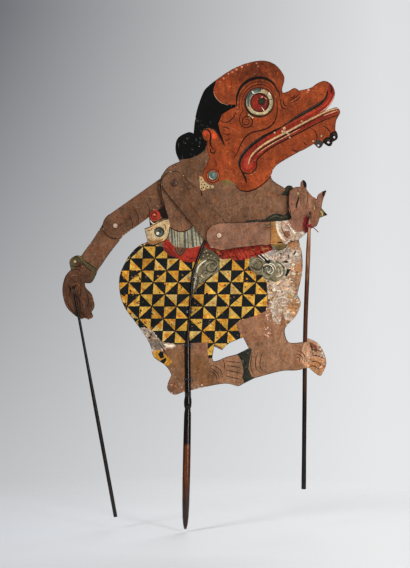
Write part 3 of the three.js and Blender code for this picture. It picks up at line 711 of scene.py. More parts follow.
# A painted highlight on the rosette
# A painted highlight: the bright arc under the rosette
# A painted highlight: the grey line inside the black line above
# A painted highlight: the grey line inside the black line above
# Painted highlights: two bright marks on the eye's ring
# Painted highlights: two pink marks above the pupil
# Painted shadow: a black area by the rosette, for a gap in deep shade
body.draw("""
flecks brown_ink,ink,worn_brown,worn_brown,amber 118,262,262,344 130 1.5 0.6 cloth
flecks worn_brown,brown_ink,ink 114,266,146,330 50 2.4 0.9 cloth
# Worn ends of the cloth
worn_front = patch worn 262,252 271,248 288,244 300,238 308,256 306,275 301,292 302,303 296,317 288,326
  285,320 282,311 276,307 271,312 268.5,300 266.8,284 263,277
patch grey 268,252 276,248 288,248 296,252 299,260 294,268 286,272 278,276 270,270 266,262
patch bare 268,278 276,276 284,280 292,286 292,296 286,302 276,304 269,297 / 282,256 290,250 298,252 296,258
  288,264 282,264 / 270,304 277,306 281,312 280,324 274,322 271,312
patch orange 288,240 299,238 303,246 297,250 289,248 / 291,266 297,261 304,264 304,276 299,287 292,286
  289,277 / 287,298 292,291 301,293 302,301 299,311 293,317 287,311
line bright 1.1 0.3 274,256 280,251 284,250 / 286,259 290,254 296,252 / 280,266 285,262 292,262 / 272,283
  279,281 285,285 / 271,292 277,290 283,293 / 277,299 283,297 288,300
disc ink 6 277,264,0.8 281,254,0.9 280,258,0.8 295,256,0.7 276,291,0.7 282,292,0.9 285,288,0.6 279,303,0.7
  290,296,0.8 297,272,0.7 293,305,0.7 288,316,0.8 274,298,0.6 269,290,0.7
flecks bright,bright,bare,bare,blush,grey,grey,grey_ink,worn 264,246,296,276 60 2.9 -0.7 worn_front
flecks bare,straw,bright,peach,worn,ochre 264,276,291,314 56 3.4 -0.4 worn_front
flecks orange,worn,peach,leg 290,260,306,292 24 3 1.3 worn_front
flecks bright,peach,peach,bare,bare,blush,orange,ochre,pink,pale_stripe,worn 284,290,304,322 60 2.6 -0.4
  worn_front
flecks bright,blush,bright 264,276,302,320 34 1.6 -0.4 worn_front
flecks ink,gold,straw,grey_ink 264,278,276,306 14 1.3 0.6 worn_front
flecks ink,grey_ink,brown_ink 268,248,298,308 30 1 0.8 worn_front
area dark 282.6,269.2 291,269 289.4,271.6 286.6,276.4 283.6,275.4 284.2,272
worn_back = patch worn 140,328 153,331 158,338 165,342.5 175,344 175,347 167,349 161,352 155,357 146,345
patch dim_grey 142,330 152,332 158,339 166,344 162,349 155,350 147,343
flecks bare,grey,worn_brown,ink,dim_grey 142,330,176,356 50 1.9 0.9 worn_back
area bright 163,343.6 170,345 174,344.4 174,346.6 167,347.6
area gold 153,352 158,349.5 163,353 168,356 172,362 168,366 162,365 155,359
area dark 158,354 161,350.6 163.4,353 164,357.6 160.4,358.6 / 160,361 166,357.4 166.6,360.4 163,364
line ink 0.8 0.4 158.6,343 162,347 165,352 168,357
# Sash, its loops and its scrolls
area sash 163,240 168,239.5 172,244.5 176,247.5 186,248 195,246.5 205,242 201,249.5 197.8,256 196,262
  189,262.3 182,260.8 176,257.5 169,255.5 164,250
area sash_dark 164,247 168,249 173,254 179,258.4 176,257.6 169,255.6 164.6,251
sash = area sash 203,240 215,246 240,242 268,240 273,250 268,251.5 262,254.5 254,257.2 243,260 236,260.3
  230,258.8 222,259.5 214,256.5 207,254
area sash_dark 205,248 212,250 218,252 224,252.6 223,256 226,259 221,258.6 214,256.5 207,254
flecks sash_dark,brown_ink,sash_dark,ochre,lip_bright 208,244,272,261 80 2.6 0.5 sash
area lip_bright 226,252 234,252.6 236,256 238,259.6 230,258.8 227,256 / 238,252 250,250.6 256,252 252,255.4
  245,258.6 241,256
line brown_ink 0.8 0.3 233,252 236,256 237.6,260.2 / 243,251 246,255 247,259.5 / 252,249 255,253 257,256.4 /
  226,252 229,256 230,259 / 166,243 172,251 178,257 / 213,250 217,254 219,258.4 / 220.6,251.6 222.6,254.6
  222,258.6 / 249,256 255,254.6 262,251.6 / 228,257.6 233,256.8 238,258 / 186.6,256 190.6,258.6 195.6,257.6
area neck 174,247 186.5,247 185.5,251 183,254.5 180,256 177,254 174.8,251
line brown_ink 0.8 1 175,248 176.5,252.5 180,255.3 183.8,252.5 185.5,248
line brown_ink 0.6 1 177.6,248 178.6,251 180.4,252.4 182.4,250.8 183,248
area scroll_dark 203.6,246 207,248.6 213,251 216,254 220,258 219,262 206,259 200,261 199.6,255
disc cream 6 204.6,252,0.65 207.6,254.4,0.65 211,255.6,0.65 203.4,256.4,0.65 214.4,257.4,0.65 208.4,258,0.65
  206.6,250.6,0.65
line brown_ink 0.8 0.4 201.6,254 205.6,253.4 209.6,252.8 212.4,254.6
area scroll 200,262 206,258.5 214,258.5 219,262 220,268 217,273 211,275 207,279 200,284 196,290 192,296
  191.5,280 195,268
disc scroll 28 211,266.5,8.6
spiral web 210.6,267,8.4,1.1,1.1,3.4,0.4 213.4,265.6,4.2,1.2,0.8,0.4,0.15 205.6,272.6,3,1.1,0.7,2.6,0.15
  200.6,279,4.6,1.1,0.8,1.4,0.15
line web 0.9 0.3 196,272 198.4,277 197.6,284 194.6,290
line bright 1.7 0.3 196.8,273 198,267.6 201.4,263.4 206.4,260.4
line cream 1.2 0.3 200,273.6 202,276.6 205,277.6
line bright 0.8 0.3 193.8,289 195,282 196.6,277
line grey_ink 0.7 0.3 203.4,263.4 207,261.2 212,260.8 216.4,263 / 201.4,267 203.4,265 206,264.4 /
  206.6,270.6 210.4,272 214.4,270.6 / 208,264.2 211.6,263.8 214.8,266 / 197.4,281 200.4,284.4 203.4,282 /
  202.6,271 200.4,274.6 201.4,278.4
line pale_stripe 0.7 0.3 204.4,266 207.4,263.4 211,262.6 / 213,268.6 216,267 217.4,264 / 199.6,282 201.6,279
  203.6,278.4 / 206,276 209.6,274.6 212,273
area scroll 266,263 271,260.6 277,261 283,264 286.6,269 285,275 281,279.6 275,282.4 270,280.6 266,274 /
  249,259 252,256.5 259,258 266,263 273,268 276,275 271,281 265,279 262,275 257,275 251.6,271 249,266
spiral web 257,265.6,7,1.2,0.9,3.6,0.3 268.4,271,6.4,1.2,0.9,2.2,0.3
spiral bright 268,270.6,3.6,0.8,0.8,4.2,0.15
scroll_turn = area scroll_pale 272,262.6 277,262 282.4,265.4 285,270 282.6,275.4 278,279 275,276 278.4,272
  278,268
flecks bright,pale_stripe,grey_ink,scroll,bare 270,260,287,282 60 1.7 1 scroll_turn
line pale_stripe 1.1 0.3 271,262 276,260.6 281.6,262.6 285.6,267.4 285.4,273 281.4,278 276,280.4 / 274.6,265
  278.4,265 281.6,268 281.4,272.4 278,275.4 / 276.4,268.4 278.6,269.6 278,272 / 287,262 291,264.6 293,268 /
  262.6,268.6 262.8,273 266,276.6 270.4,276.6 273,273.6 / 251.4,263 253.6,259.8 258,258.8 262.6,261
line bright 0.9 0.3 266.4,264.6 270.4,263.4 274.4,265.6 276,269.6 / 268,273 271.4,273.4 273.4,270.6 /
  280.6,262.6 284.4,265.6 286,269.6 / 277,276.6 280.6,275.4 283,272
line grey_ink 0.8 0.3 273,263.6 277.4,262.6 282,265 283.8,269.4 282.8,274.6 278.6,278.2 / 275.4,267
  278.6,267 280,270 278.6,273.4 / 270,278 274,281 279,280.6
line pale_stripe 0.9 0.3 252,262.6 255.4,260.4 259,260.6 / 254,270.6 257.6,272 261,270.4 / 263.6,274
  266.4,277.6 270.4,277 / 264.6,268 262.4,271 263,274.4 / 270,265 273.6,268.6 273,273
line ink 0.9 0.3 250.6,265.6 253.4,268.4 257,268.8 / 265.6,272.6 268,274.4 271,273 / 266.6,266.8 269.4,268
  270.6,270.6 / 262,266 264,269 263.4,272
line steel 1.3 0.5 266,270 268.4,268.6 270.4,270.8
area dark 257,256 260,254 271,262 268,264.4
line bright 1.3 0.7 258.4,255 264.6,260.6 / 261.8,254 268,260 / 265.2,253.8 271.4,260 / 270,256.4
  275.6,262.4
line bright 0.9 0.4 263,266 267,264 272,266.5 273.5,271
line cream 1.6 0.5 219.6,258.4 222,260.4 225,261.4
# Striped panel under the trunk, the sash's end with its button and its rosette
area pale_stripe 168.5,226 173,228.5 178,231.5 184,231.5 189,229.5 193,225 206,243 200,246 190,248 180,247.5
  174,246 169.5,241
line stripe 2 1 171.2,228 172.6,243.5
line stripe 1 1 174.2,229 175.4,246.5
line ink 0.6 1 177.2,230 177.6,247
line stripe 0.8 1 179.8,231 180,247.5
line stripe 2.2 1 184.6,231 185,248
line ink 0.7 1 187.4,230 188.4,248
line stripe 2.2 1 191.3,227 193.2,247
line ink 0.6 1 195.2,229 196.8,246
line stripe 1.4 1 198.5,233 200.6,245
line brown_ink 1 1 169.5,226.5 174.5,230 181,231.8 188,230 193.5,225
area ink 156,210 164.3,205 166.5,211 168.8,218.5 163,219 160,215
area brown_ink 148.5,214 152,221 158,221.5 163,216.5 161.5,220.5 155,226 149.5,226.5
line bright 1.2 0.4 150.2,220 152.5,223.2 156,224
disc sash 28 154.8,215.3,5.6
disc lip_bright 28 154.8,215.3,4.4
spiral brown_ink 154.8,215.3,4.2,1.6,0.9,1,0.15
disc pink 8 154.3,214.8,0.9
area cream 143,228.8 150,226 157,222.2 163,219.7 168.8,218.8 170,226 169.6,232 166.5,239.5 161,242.3 154,245
  150,243.5 145.5,240
area ochre 147,238 152,240.6 158,240.4 164,238.6 161,242.3 154,245 150,243.5
line brown_ink 0.7 0.3 146.4,231 150,230.4 152.6,228 / 163.6,223.4 165.6,227 165.4,231
disc scroll 28 159.3,231.8,5.4
disc ink 28 159.3,231.9,4.7
disc teal 28 158.9,232.3,3.8
disc grey_ink 14 159.8,231,2.2
disc bright 12 157.8,233.4,1.5
line brown_ink 0.7 1 145,229 151,226.6 158,222.6 163.5,220.2 168.4,219.2
line brown_ink 0.8 1 169.8,227 169,233 166.3,239.3 160.5,242.5 154,245
# Trunk: neck, and webs beside the front hand and above the forearm
area neck 204,138 207,146 208,156 206,163 203.5,170 203,176 196,182 186,178 172,160 180,156 198,150
area web 281,195 285,190 286,185 293,184 291.5,190 289.3,200 289,210 292,215 292,222 262,222 244,224
  246,220.5 256,219.5 264,219.7 269,216 274,213.6 280,213.8 284,215.5 287.5,212 287,203 288,196 284,195.6
line grey_ink 1.2 0.4 250,221.4 258,220.8 266,219
line scroll_dark 1 0.4 268,219.6 275,216 282,217.4 288,216
line brown_ink 1.1 0.5 165,206 162,197 160.5,188 161.5,178
curved olive 222,179 227,179.4 231.5,181 231,184.5 226.5,185.5 222.5,183
# Head
face = area face 214,70 213.3,90 214.5,95 220.5,102 229,105 236,106 231,109 222,114.5 218.3,124 220,134
  218,134.5 210,128 203.5,130 202,134 203.5,138.5 206.5,141 206,148 209,157 207,164 203.5,171 202.3,176
  205,181.5 212,184.3 219,181.7 225,179.3 231,180.5 236,184.5 239.5,189.3 245,191 251,190.5 258,187.2
  266,181.3 271.5,175.5 275,168 282,163 345,150 350,70 300,50 225,50
flecks face_deep 238,62,280,80 60 4.2 1.35 face
flecks face_deep,face_deep,face_pale 212,60,282,104 70 2.6 1.2 face
flecks face_deep,face_pale 216,84,336,186 110 2.4 0.9 face
line faint 0.7 0.2 256.4,61.5 257.6,67 261,73 266,77 / 251,63 252,69 255.4,74 / 262,62 265,67 270,72 /
  246,65 247.4,70 246.6,75 / 240,69 241,75 239.4,81 / 224,82 226,88 225.4,95 / 229,76 231.6,84 230.4,92 /
  219,90 222,95.4 227,99 / 270,66 275,71 277.6,78
disc pink 7 232.2,72,1.3 228.4,74,0.8 236.6,69.6,1 223.6,78.4,0.9 242,67,1 247.6,65,0.6 256.6,63.4,0.9
  258,66.4,0.7 220,82,0.6 254.6,74,0.7 308.4,90,1.3 307.4,92.4,0.7
hair = area hair 217.5,77 213.5,89 214.5,95 220.5,102 229,104.5 236,104.6 235.6,107.4 231,109 222,114.5
  218.3,124 219.7,131 222.5,138 225,146 221,140.5 218,135 214,130 209,128 204,129.3 202,133.5 203.5,138.5
  206.6,141.5 207,145.5 204.5,150.5 198,155.5 189.5,158.6 178,160 165,162 165,130 185,120 190,80 205,65
flecks hair_grey 186,118,216,158 26 2.2 0.9 hair
line pink 0.6 0.2 213.4,91 215.6,97 221,102.6 229,105.2
line brown_ink 1.5 0.5 236.2,186 239.8,189.8 245,191.4 251,190.8 258,187.6 266,181.6 271.5,175.5
# Brow and eye
line ink 3.2 0.25 236.9,107 236.6,100 237.9,93 241.4,86.6 247,81.6 254.6,78.4 262.6,78 270,80.8 275,86
  277.4,92
line faint 1.6 0.4 239.8,110 239.2,102 240.6,95 244.4,88.8 250,84 257.6,81.6 265.4,82.6 271.6,87 275,94
line brown_ink 0.9 0.4 243.2,113 241.6,105 242.6,98 246,91.6 251.6,86.8 258.6,84.6 265.6,85.6 271,89.6
  274,96 274.4,103
disc faint 40 259.3,102.4,15.6
disc ink 40 259,103,14.3
disc white_ring 40 259.5,102.2,13.4
area teal 246.6,100 247.8,94 251.6,90.4 257,88.4 263.4,89.4 258.6,92 253.6,93.6 250.6,97.6 249.4,103
  249.6,108 247.4,105
area steel 249,98 250.6,94 254,91.4 258.4,90.2 257,92 253,93.8 250.6,97.4 249.6,101
line grey_ink 0.7 0.5 270.4,106 273,107 / 268.4,110.4 270.6,112.4 / 262,113.2 262.6,116 / 255.4,112.4
  254.2,115 / 266,90.8 264.6,93.4 / 249.6,108.6 247.6,110
line ink 0.8 1 250.4,92.6 254,95 / 260.4,88.8 260.2,92
line ink 0.7 1 268.6,91.8 266.4,94.6 / 272.8,99 269.4,100
line olive 1 0.4 252,112.6 258,115.2 265,114
line bright 2 0.7 268.4,92.6 270.6,95.6
line bright 2 0.8 252,91.2 253.8,93.6
disc iris_dark 36 259.8,102.6,9.8
disc iris 36 259.2,102.8,8.3
curved lip 253,98 257,95.6 257.6,102 256,108.6 252.4,105
disc iris_dark 20 261.7,101.4,4
disc pupil 20 261.7,101.4,2.7
line pink 1.6 0.7 260.8,97.6 263,96.6
line pink 1.2 0.5 264.6,97.4 267,99.4
line bright 1.1 0.5 261.6,107.4 264.6,111.4
area cream 248.2,113.4 250.4,115.6 253.6,117.6 252.6,118.6 249.6,118.2 248.2,116
# Cheek, nose and ear
line brown_ink 1.15 0.5 243.4,110 240.6,114.6 239.4,120 241.6,125.6 246.4,127.6 251,125.6 252.4,121 250,117
  245.8,116.4 242.8,119 242.6,123 245.6,125.2 248.8,123.4 248.6,120 245.8,119.6
line brown_ink 1.5 0.4 276.4,100 277.2,107 276.6,115.4 274.2,122 269.5,127 262,130.3 252,132.6 245.6,137
  241,144 237.6,152 233.8,158
line ink 1.1 0.25 280.6,99 280.8,104 283,108.4 288.5,109 / 283.4,100 283.8,104.6 287.6,106.4 / 286,101.4
  287.4,104 / 287,100.8 292,99.4 296.4,96.6 299,93.8 / 290.6,103 296,100.8 301.2,96.4 / 289.4,98.4 293.4,97
  295.6,94.8 / 293.4,105 297.6,103
line brown_ink 1.15 0.3 277.5,90 279.2,94 280,98 / 219.4,119.6 223,122.2 228,122 232,119 235,114.6
  236.8,109.6 / 221.6,127 226.4,127.4 230,129.8 / 224.6,133.6 227.6,135 230.6,133 / 224.6,138.8 227.6,140.6
  229.8,138 / 303,141.5 305,143.8 307.6,145.4 / 291,149 295,151 299.4,151 / 310,128 315,131.5 317,137
  316,142.5 / 322,125.5 328,129 331,135
curved ear 203.8,133 206,130.6 210,130.4 214.4,132 217,135.6 216,138.6 213,139 211,136 208.4,134.4
  205.4,136.4
line ink 1.7 0.5 203.2,130 207,129.8 209.8,132.2 210.8,136.4 210.2,141 211,146 213.8,149.4
line ink 1.5 0.6 210.6,149 210.8,152 213.4,153.2 215.6,151.4
line brown_ink 1.1 0.5 210,128 215.4,130.2 219,135.4 221.8,140.8 224.6,146
disc ink 10 205.4,142,1.9
line faint 1 0.5 206.8,147 209.3,157 207.2,164 203.8,171 202.6,176
line faint 0.8 0.3 213,157 216,163 216.4,169
# Mouth: the upper lip's band and bulb, the dark line over it, the teeth's line and the lower lip
area lip 328.5,83 333.5,88 334.3,95 331,102.5 325.5,108.8 319.5,112.8 311,117.2 300,123 290,128.6 280,133.8
  270,139.2 262,144.4 255.5,150.2 251.5,156 255.5,160 256,166 253,170.8 247.5,172.8 242,169.8 241,163
  243.4,156 248,149.8 255,143.3 263,137.8 272,133 281,128.8 289,124.3 297,119.3 306,114.3 315,109.3
  322.5,103.8 326.6,98 328.2,91
line lip_bright 1.8 0.3 331.4,94 328.4,100.6 322.6,106.4 312,112.4 300,118.8 290,124.4
curved lip_bright 244,160 249,157 252,161 252.6,166 249,169.6 244.6,167
line ink 3.3 0.3 327.6,90.6 326.2,96.6 322,102 315,106.8 306,111.8 297,117 289,122.2 281,127.4
line grey_ink 1.1 0.3 326.6,93.6 324.6,98.4 320,102.8 311,108.4 302,113.6 293,119 285,124.6
line ink 3.4 0.45 281,127.6 272,132.2 263,137 254.5,142.8 247,149.4 241.8,156.2 239.4,163 240.4,169.4
line grey_ink 1.2 0.3 262,136.4 253,142.8 246,149.4 240.6,156.6 238.4,163 239.4,168
line ink 1.5 0.5 240,168.6 243.4,172.6 248.4,174
line ink 2.2 0.2 241,170.6 243.8,175.4 245.8,179.8 246.4,183.4
line ink 1.3 0.4 330.2,85 331.6,89 331.2,93
line pink 1.1 0.4 334,96 331,102.8 326,108.4 320,112.4
area lip 337.4,112.8 326,118 313,124.2 300,131 288,137.4 272,146 261,153.8 256.5,159.8 252.5,158.6 257.5,152
  265,146.2 280,137.8 300,127.4 314,120.2 326,114.2 336,110.4
line cream 1.6 0.55 338,108.3 328,110.8 316,116.5 302,123.8 288,131.4 274,138.6 263,145 255,151.4 250,158
  248.4,164.4
line ink 1.3 0.4 336,110.6 326,113.9 314,119.9 300,127.2 286,134.6 274,141.2 263.4,147.6 256.2,153.4
  251.6,160 250.6,163
line cream 0.7 0.3 300,128.9 286,136.4 274,142.9 264,149.1 257.4,154.3
line pink 1.1 0.4 337.6,110.6 331,112.8 323,116
line brown_ink 1.7 0.5 337.6,115.4 326,119.3 313,125.6 300,132.4 288,138.6 272,147.2 261.6,154.8 256.8,160.8
  256.6,167 253,172 247.6,174
disc cream 7 284.4,128.4,1.5 282.4,131.4,1.2 286.6,132.6,1.4 288.6,134.6,1.2 274.6,132.8,1 301.6,121.2,0.8
  321.4,136,0.9 313,141.2,0.9 289.6,137.6,0.8
disc pink 7 284.6,131.4,1
# Earring and the gold lace below it
disc face 26 212.8,176,7.6
disc brown_ink 26 212.8,176,6.9
disc face_pale 26 212.8,176,6.2
disc brown_ink 24 212.8,175.8,4.9
disc steel 22 212.8,175.6,4.3
disc green 18 213,175.2,3.3
disc steel 12 213.6,174.8,1.8
line bright 0.9 0.5 209.4,176.4 210.6,178.6 213,179.4
area cream 199.3,176 202.4,177.4 204.6,181.6 208.6,184.6 214.4,186 213.4,188.2 207,188.8 203,190.6
  200.4,190.4
disc ink 7 201.2,179.4,0.7 203,182.2,0.7 201.4,184.4,0.7 204.4,184.8,0.7 203.4,187.4,0.7 207.2,186.4,0.7
  210.6,187,0.7 201.4,188.6,0.7 205.8,188.2,0.7
line brown_ink 1.2 0.3 200.6,190 201.6,193.4 202.4,196
# Beard curls
disc ink 18 334.6,136.6,5.4 328,142.2,5.2
disc grey_ink 18 318.6,144.8,5
line grey_ink 0.9 0.4 332.4,134.4 334.6,133.6 336.4,135.6 / 325.4,141 327.6,139.6 330,141
""")
# The arms' paintings

front_upper = Painting("arm")
# The black line along the lower-left edge is partly the drawn outline and partly a painted shadow
# shade: soft spots of painted light and shade
front_upper.draw("""
shade 174,182,10,0.12 196,205,12,0.08 186,215,10,-0.12 168,196,8,-0.08
line ink 2.8 0.7 161.4,183 162.8,189.4 171.4,200.8 181.4,213.2 191.4,225.4 200.4,236.8 206.4,243.8
line brown_ink 0.5 0.2 178,176 186,186 192,198 / 184,196 194,210 204,222
""")
front_lower = Painting("forearm")
# A painted shadow: a dark line along the forearm's lower edge, for its shadow on the sash
# shade: soft spots of painted light and shade
front_lower.draw("""
line brown_ink 1.8 0.6 205,236 206.6,244 213,250 224,250.8 246,249 270,247
shade 222,232,10,0.06 258,236,10,-0.06 300,205,10,0.05
area hand 283,215 287,180 330,180 330,232 300,232 290,226
stain 313,217,6,0.7 284,234,8,0.3
area ochre 270.5,218 276,218 277,226 279.5,236 282,243 278,252 272,252 269.6,244 270.4,232
line brown_ink 0.6 0.4 270.6,222 270.8,232 269.8,244
area olive 270.6,244 275,244.6 281,245 288,242.5 289,247 285,252 275,253 268,247
line ink 1.5 0.4 277.2,242.4 280,242.6 282.6,242.2
patch bare 275,222 282,219 290,221 296,226 301,230 306,233 303,240 293,244 284,244 279,236
patch hand 284,232 288,231 290,235 287,238 283.6,236 / 288,218 296,219 300,228 304,231 297,232 291,227
line bright 2 0.5 276.4,223 277.6,230 280,236 285,241
line bright 1.4 0.4 287,226 292,230 295,234
line bright 1.2 0.5 289.4,232 291.4,236
line brown_ink 0.9 0.3 280.6,224 282,230 285,235.6 289,239
line brown_ink 0.8 0.3 285,225 288.6,227.4 290,231
line ink 1.5 0.3 289.6,240.6 292,241.8 295.4,240.8
line scroll_dark 1.8 0.6 264.6,224.6 267,225.6 270,224
line ink 0.8 0.4 265,227.6 267.6,228.2 269.8,227
line brown_ink 0.9 0.5 289.4,190 288.4,198 288.6,206 290.4,213 291,220
line olive 1.7 0.6 298.6,189.4 298.4,196 297.4,201
line cream 1.8 0.7 297.5,192.6 297.8,195.2
line ink 1.7 0.5 298.6,197 297.4,201.4 296.2,204.6 296,208.6
line pink 0.7 0.5 298.8,201 298.6,207
line olive 1.3 0.5 303.6,190 303.8,200 303.2,211
line faint 0.6 0.3 301,190 300.4,198 300.6,207 / 306.8,192 307.2,199 306.6,207
line pink 1 0.4 309.4,201 309.6,208
line olive 1.9 0.6 311.4,199 312.4,204 311.8,211
line faint 0.7 0.3 315.4,196 314.6,203 315.6,210
line cream 1.2 0.6 313.8,206.6 314,209.6
curved ink 302.6,181.4 305.4,181.4 306.2,186.6 304,187.6 303,185
line faint 0.6 0.5 302,187.6 305.6,188.4
area ink 322.4,191 327,188.6 325,194.6 323,197.4 321.8,195
area olive 318.6,210 323,208.4 328.4,215.2 323,218.4 318.6,218.8
area ink 323.4,211.6 328.4,215.2 324.4,216.6
line cream 1.1 0.5 320,211.6 322,213.6 321.6,216.4
line ink 0.9 0.5 319,217.6 321,218.2
disc sash_dark 12 306.4,219.6,2.6
""")
rear_upper = Painting("rear_arm")
# shade: soft spots of painted light and shade
rear_upper.draw("""
shade 120,222,8,0.08 146,212,12,-0.04 132,222,7,-0.12
line brown_ink 0.7 0.3 127,214.4 131.6,220 132,228 128.6,235 / 134,208 138,216 138.6,224 / 146,202 149,208
  149.6,214
disc heel 7 139.5,216.6,0.9 136.4,218.6,0.8 141.6,219.4,0.7 135,221.4,0.6
""")
rear_lower = Painting("rear_arm")
# shade: soft spots of painted light and shade
rear_lower.draw("""
shade 100,240,10,0.06 92,262,8,-0.1 74,290,10,-0.1 68,280,6,-0.1
area rear_hand 60,262 78,262 92,274 90,330 60,330
area dim_olive 67,254 80,253 83,259 96,268 98.5,272 92,284 82,284 84,272 70,270
line olive 1.6 0.5 69.6,261 70.6,256.6 75,255 79.4,256.8 81.6,260.4
area rear_hand 78,261.4 93,272 88,286 72,272
disc cream 10 74.6,261.4,1.3
line ink 0.9 0.4 83.6,259.6 89,264 96,269
line ink 0.9 0.3 71,257.6 75,256.6 79.6,258.4 / 70,265 75,266.6 79.6,265.6 / 82,262 86,267 92,272 / 70,271
  76,269 82,272 / 72,279 75,284 74,290 / 79.6,283 80.6,290 79.6,297 / 74,294 79,300 80,310 / 86,292 88,300
  87,308 / 80,311 83.4,315 84.4,318 / 66,300 70,308 77,316 / 67,284 70,289 69,296 / 84,284 87,288 88,293
line heel 0.8 0.3 72.6,284.6 75.6,283.6 79,285 80.2,289 / 70,277 73,275 77,275.6 / 82,300 84,304 83.6,309
disc pink 7 90,243,0.8
""")

SHEETS = {
    "body_hide": (body, "root", "painted_hide"),
    "front_upper_arm": (front_upper, "front_arm", "arm_hide"),
    "front_forearm": (front_lower, "front_hand", "arm_hide"),
    "rear_upper_arm": (rear_upper, "rear_arm", "arm_hide"),
    "rear_forearm": (rear_lower, "rear_hand", "arm_hide"),
}
for node, (painting, rides, slot) in SHEETS.items():
    dress(node, painted_sheet(node, painting), rides)

# Horn, bone and thread

DARK_HORN = horn(
    "dark_horn",
    [(-40, 10, (34, 12, 7), (66, 28, 13)), (46, 18, (78, 34, 13), (142, 76, 30)),
     (114, 3, (14, 9, 7), (48, 25, 14))],
    share=0.6, rough=0.08, coat=0.4,
)
REAR_HORN = horn("rear_horn", [(-40, 10, (12, 9, 7), (40, 26, 18))], share=0.7, rough=0.25, coat=0.15)
BROWN_HORN = horn(
    "brown_horn",
    [(-40, 10, (15, 7, 5), (34, 16, 9)), (206, 30, (66, 32, 15), (116, 64, 34)),
     (344, 22, (146, 92, 56), (204, 148, 104)), (418, 3, (52, 27, 16), (94, 54, 32))],
    share=0.9, rough=0.34, coat=0.08, shaded_on_left=True,
)
SHOULDER_LOOK = pin_look(
    "shoulder_pin", (-15, 460.5), (104, 60, 38), (66, 36, 22), [(4.2, 0.8), (0, 1.8), (2.6, 0.3)]
)
FRONT_ELBOW_LOOK = pin_look("front_pin", (45, 391), (236, 206, 178), (196, 150, 118), [(3.5, 0.6)])
REAR_ELBOW_LOOK = pin_look("rear_pin", (-93.5, 404.5), (208, 180, 158), (166, 128, 102), [(3.5, 0.7)])
RED_THREAD = thread_look("red_thread", linear(182, 32, 44), linear(124, 20, 30))
DARK_THREAD = thread_look("dark_thread", linear(52, 34, 23), linear(26, 17, 12))
PALE_THREAD = thread_look("pale_thread", linear(96, 72, 50), linear(56, 38, 26))
RAW_HIDE = raw_hide_look()

SMOOTH_ANGLE = math.radians(38)


def shown(name, bm, material):
    """A smooth-shaded piece, with how far each point looks to the side."""
    mesh = bpy.data.meshes.new(name)
    bm.normal_update()
    side = [v.normal.x for v in bm.verts]
    bm.to_mesh(mesh)
    bm.free()
    mesh.polygons.foreach_set("use_smooth", [True] * len(mesh.polygons))
    mesh.set_sharp_from_angle(angle=SMOOTH_ANGLE)
    mesh.attributes.new("side", "FLOAT", "POINT").data.foreach_set("value", side)
    mesh.materials.clear()
    mesh.materials.append(material)
    piece = bpy.data.objects.new(name, mesh)
    bpy.context.scene.collection.objects.link(piece)
    return piece


def polished(node, rides, slot, material):
    """The CAD node's own shape as a smooth-shaded piece."""
    bm = bmesh.new()
    bm.from_mesh(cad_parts[node].data)
    bmesh.ops.remove_doubles(bm, verts=bm.verts, dist=1e-6)
    dress(node, shown(node + "_finished", bm, material), rides)


SMALL = [
    ("main_rod", "root", "dark_horn", DARK_HORN),
    ("front_hand_rod", "front_rod", "brown_horn", BROWN_HORN),
    ("rear_hand_rod", "rear_rod", "dark_horn", REAR_HORN),
    ("shoulder_pin", "root", "brown_horn", SHOULDER_LOOK),
    ("shoulder_keeper", "root", "bone", SHOULDER_LOOK),
    ("front_shoulder_washer", "root", "raw_hide", RAW_HIDE),
    ("rear_shoulder_washer", "root", "raw_hide", RAW_HIDE),
    ("front_elbow_pin", "front_arm", "bone", FRONT_ELBOW_LOOK),
    ("front_elbow_keeper", "front_arm", "bone", FRONT_ELBOW_LOOK),
    ("rear_elbow_pin", "rear_arm", "bone", REAR_ELBOW_LOOK),
    ("rear_elbow_keeper", "rear_arm", "bone", REAR_ELBOW_LOOK),
    ("front_hand_winding", "front_rod", "red_thread", RED_THREAD),
    ("front_hand_thread", "front_thread", "red_thread", RED_THREAD),
    ("rear_hand_winding", "rear_rod", "pale_thread", PALE_THREAD),
    ("rear_hand_thread", "rear_thread", "pale_thread", PALE_THREAD),
]
for entry in SMALL:
    polished(*entry)

# Thread

THREAD_SIDES = 8
END_REACH = 0.7  # how far a thread's end stands out, as a share of its radius
END_SHARE = 0.45  # how wide it is there
TIE_THREAD = 0.9 * MM  # how thick the ties are in the CAD
TIE_CORNER = 1.6  # radius of the innermost turn at its corners, in mm
TURN_RADIUS = 0.4
LOOSE_RADIUS = 0.55
CORNER_STEPS = 4


def tube(bm, path, radius):
    """Add a thread of this radius along a path, with narrowed ends; everything in mm."""
    points = [Vector(p) * MM for p in path]
    radius *= MM
    last = len(points) - 1
    ahead = [(points[min(i + 1, last)] - points[max(i - 1, 0)]).normalized() for i in range(last + 1)]
    stations = [(points[0] - ahead[0] * radius * END_REACH, ahead[0], END_SHARE)]
    stations += [(p, a, 1.0) for p, a in zip(points, ahead)]
    stations.append((points[last] + ahead[last] * radius * END_REACH, ahead[last], END_SHARE))
    up = ahead[0].orthogonal().normalized()
    rings = []
    for centre, direction, size in stations:
        up = (up - direction * up.dot(direction)).normalized()
        other = direction.cross(up)
        ring = []
        for k in range(THREAD_SIDES):
            angle = 2 * math.pi * k / THREAD_SIDES
            away = up * math.cos(angle) + other * math.sin(angle)
            ring.append(bm.verts.new(centre + away * radius * size))
        rings.append(ring)
    for near, far in zip(rings, rings[1:]):
        for k in range(THREAD_SIDES):
            following = (k + 1) % THREAD_SIDES
            bm.faces.new((near[k], near[following], far[following], far[k]))
    bm.faces.new(rings[0][::-1])
    bm.faces.new(rings[-1])


def rounded(half_x, half_y, corner):
    """A closed rounded rectangle, as points."""
    points = []
    for k, (x, y) in enumerate(((1, 1), (-1, 1), (-1, -1), (1, -1))):
        for s in range(CORNER_STEPS + 1):
            angle = (k + s / CORNER_STEPS) * math.pi / 2
            points.append(Vector((x * (half_x - corner) + corner * math.cos(angle),
                                  y * (half_y - corner) + corner * math.sin(angle))))
    return points


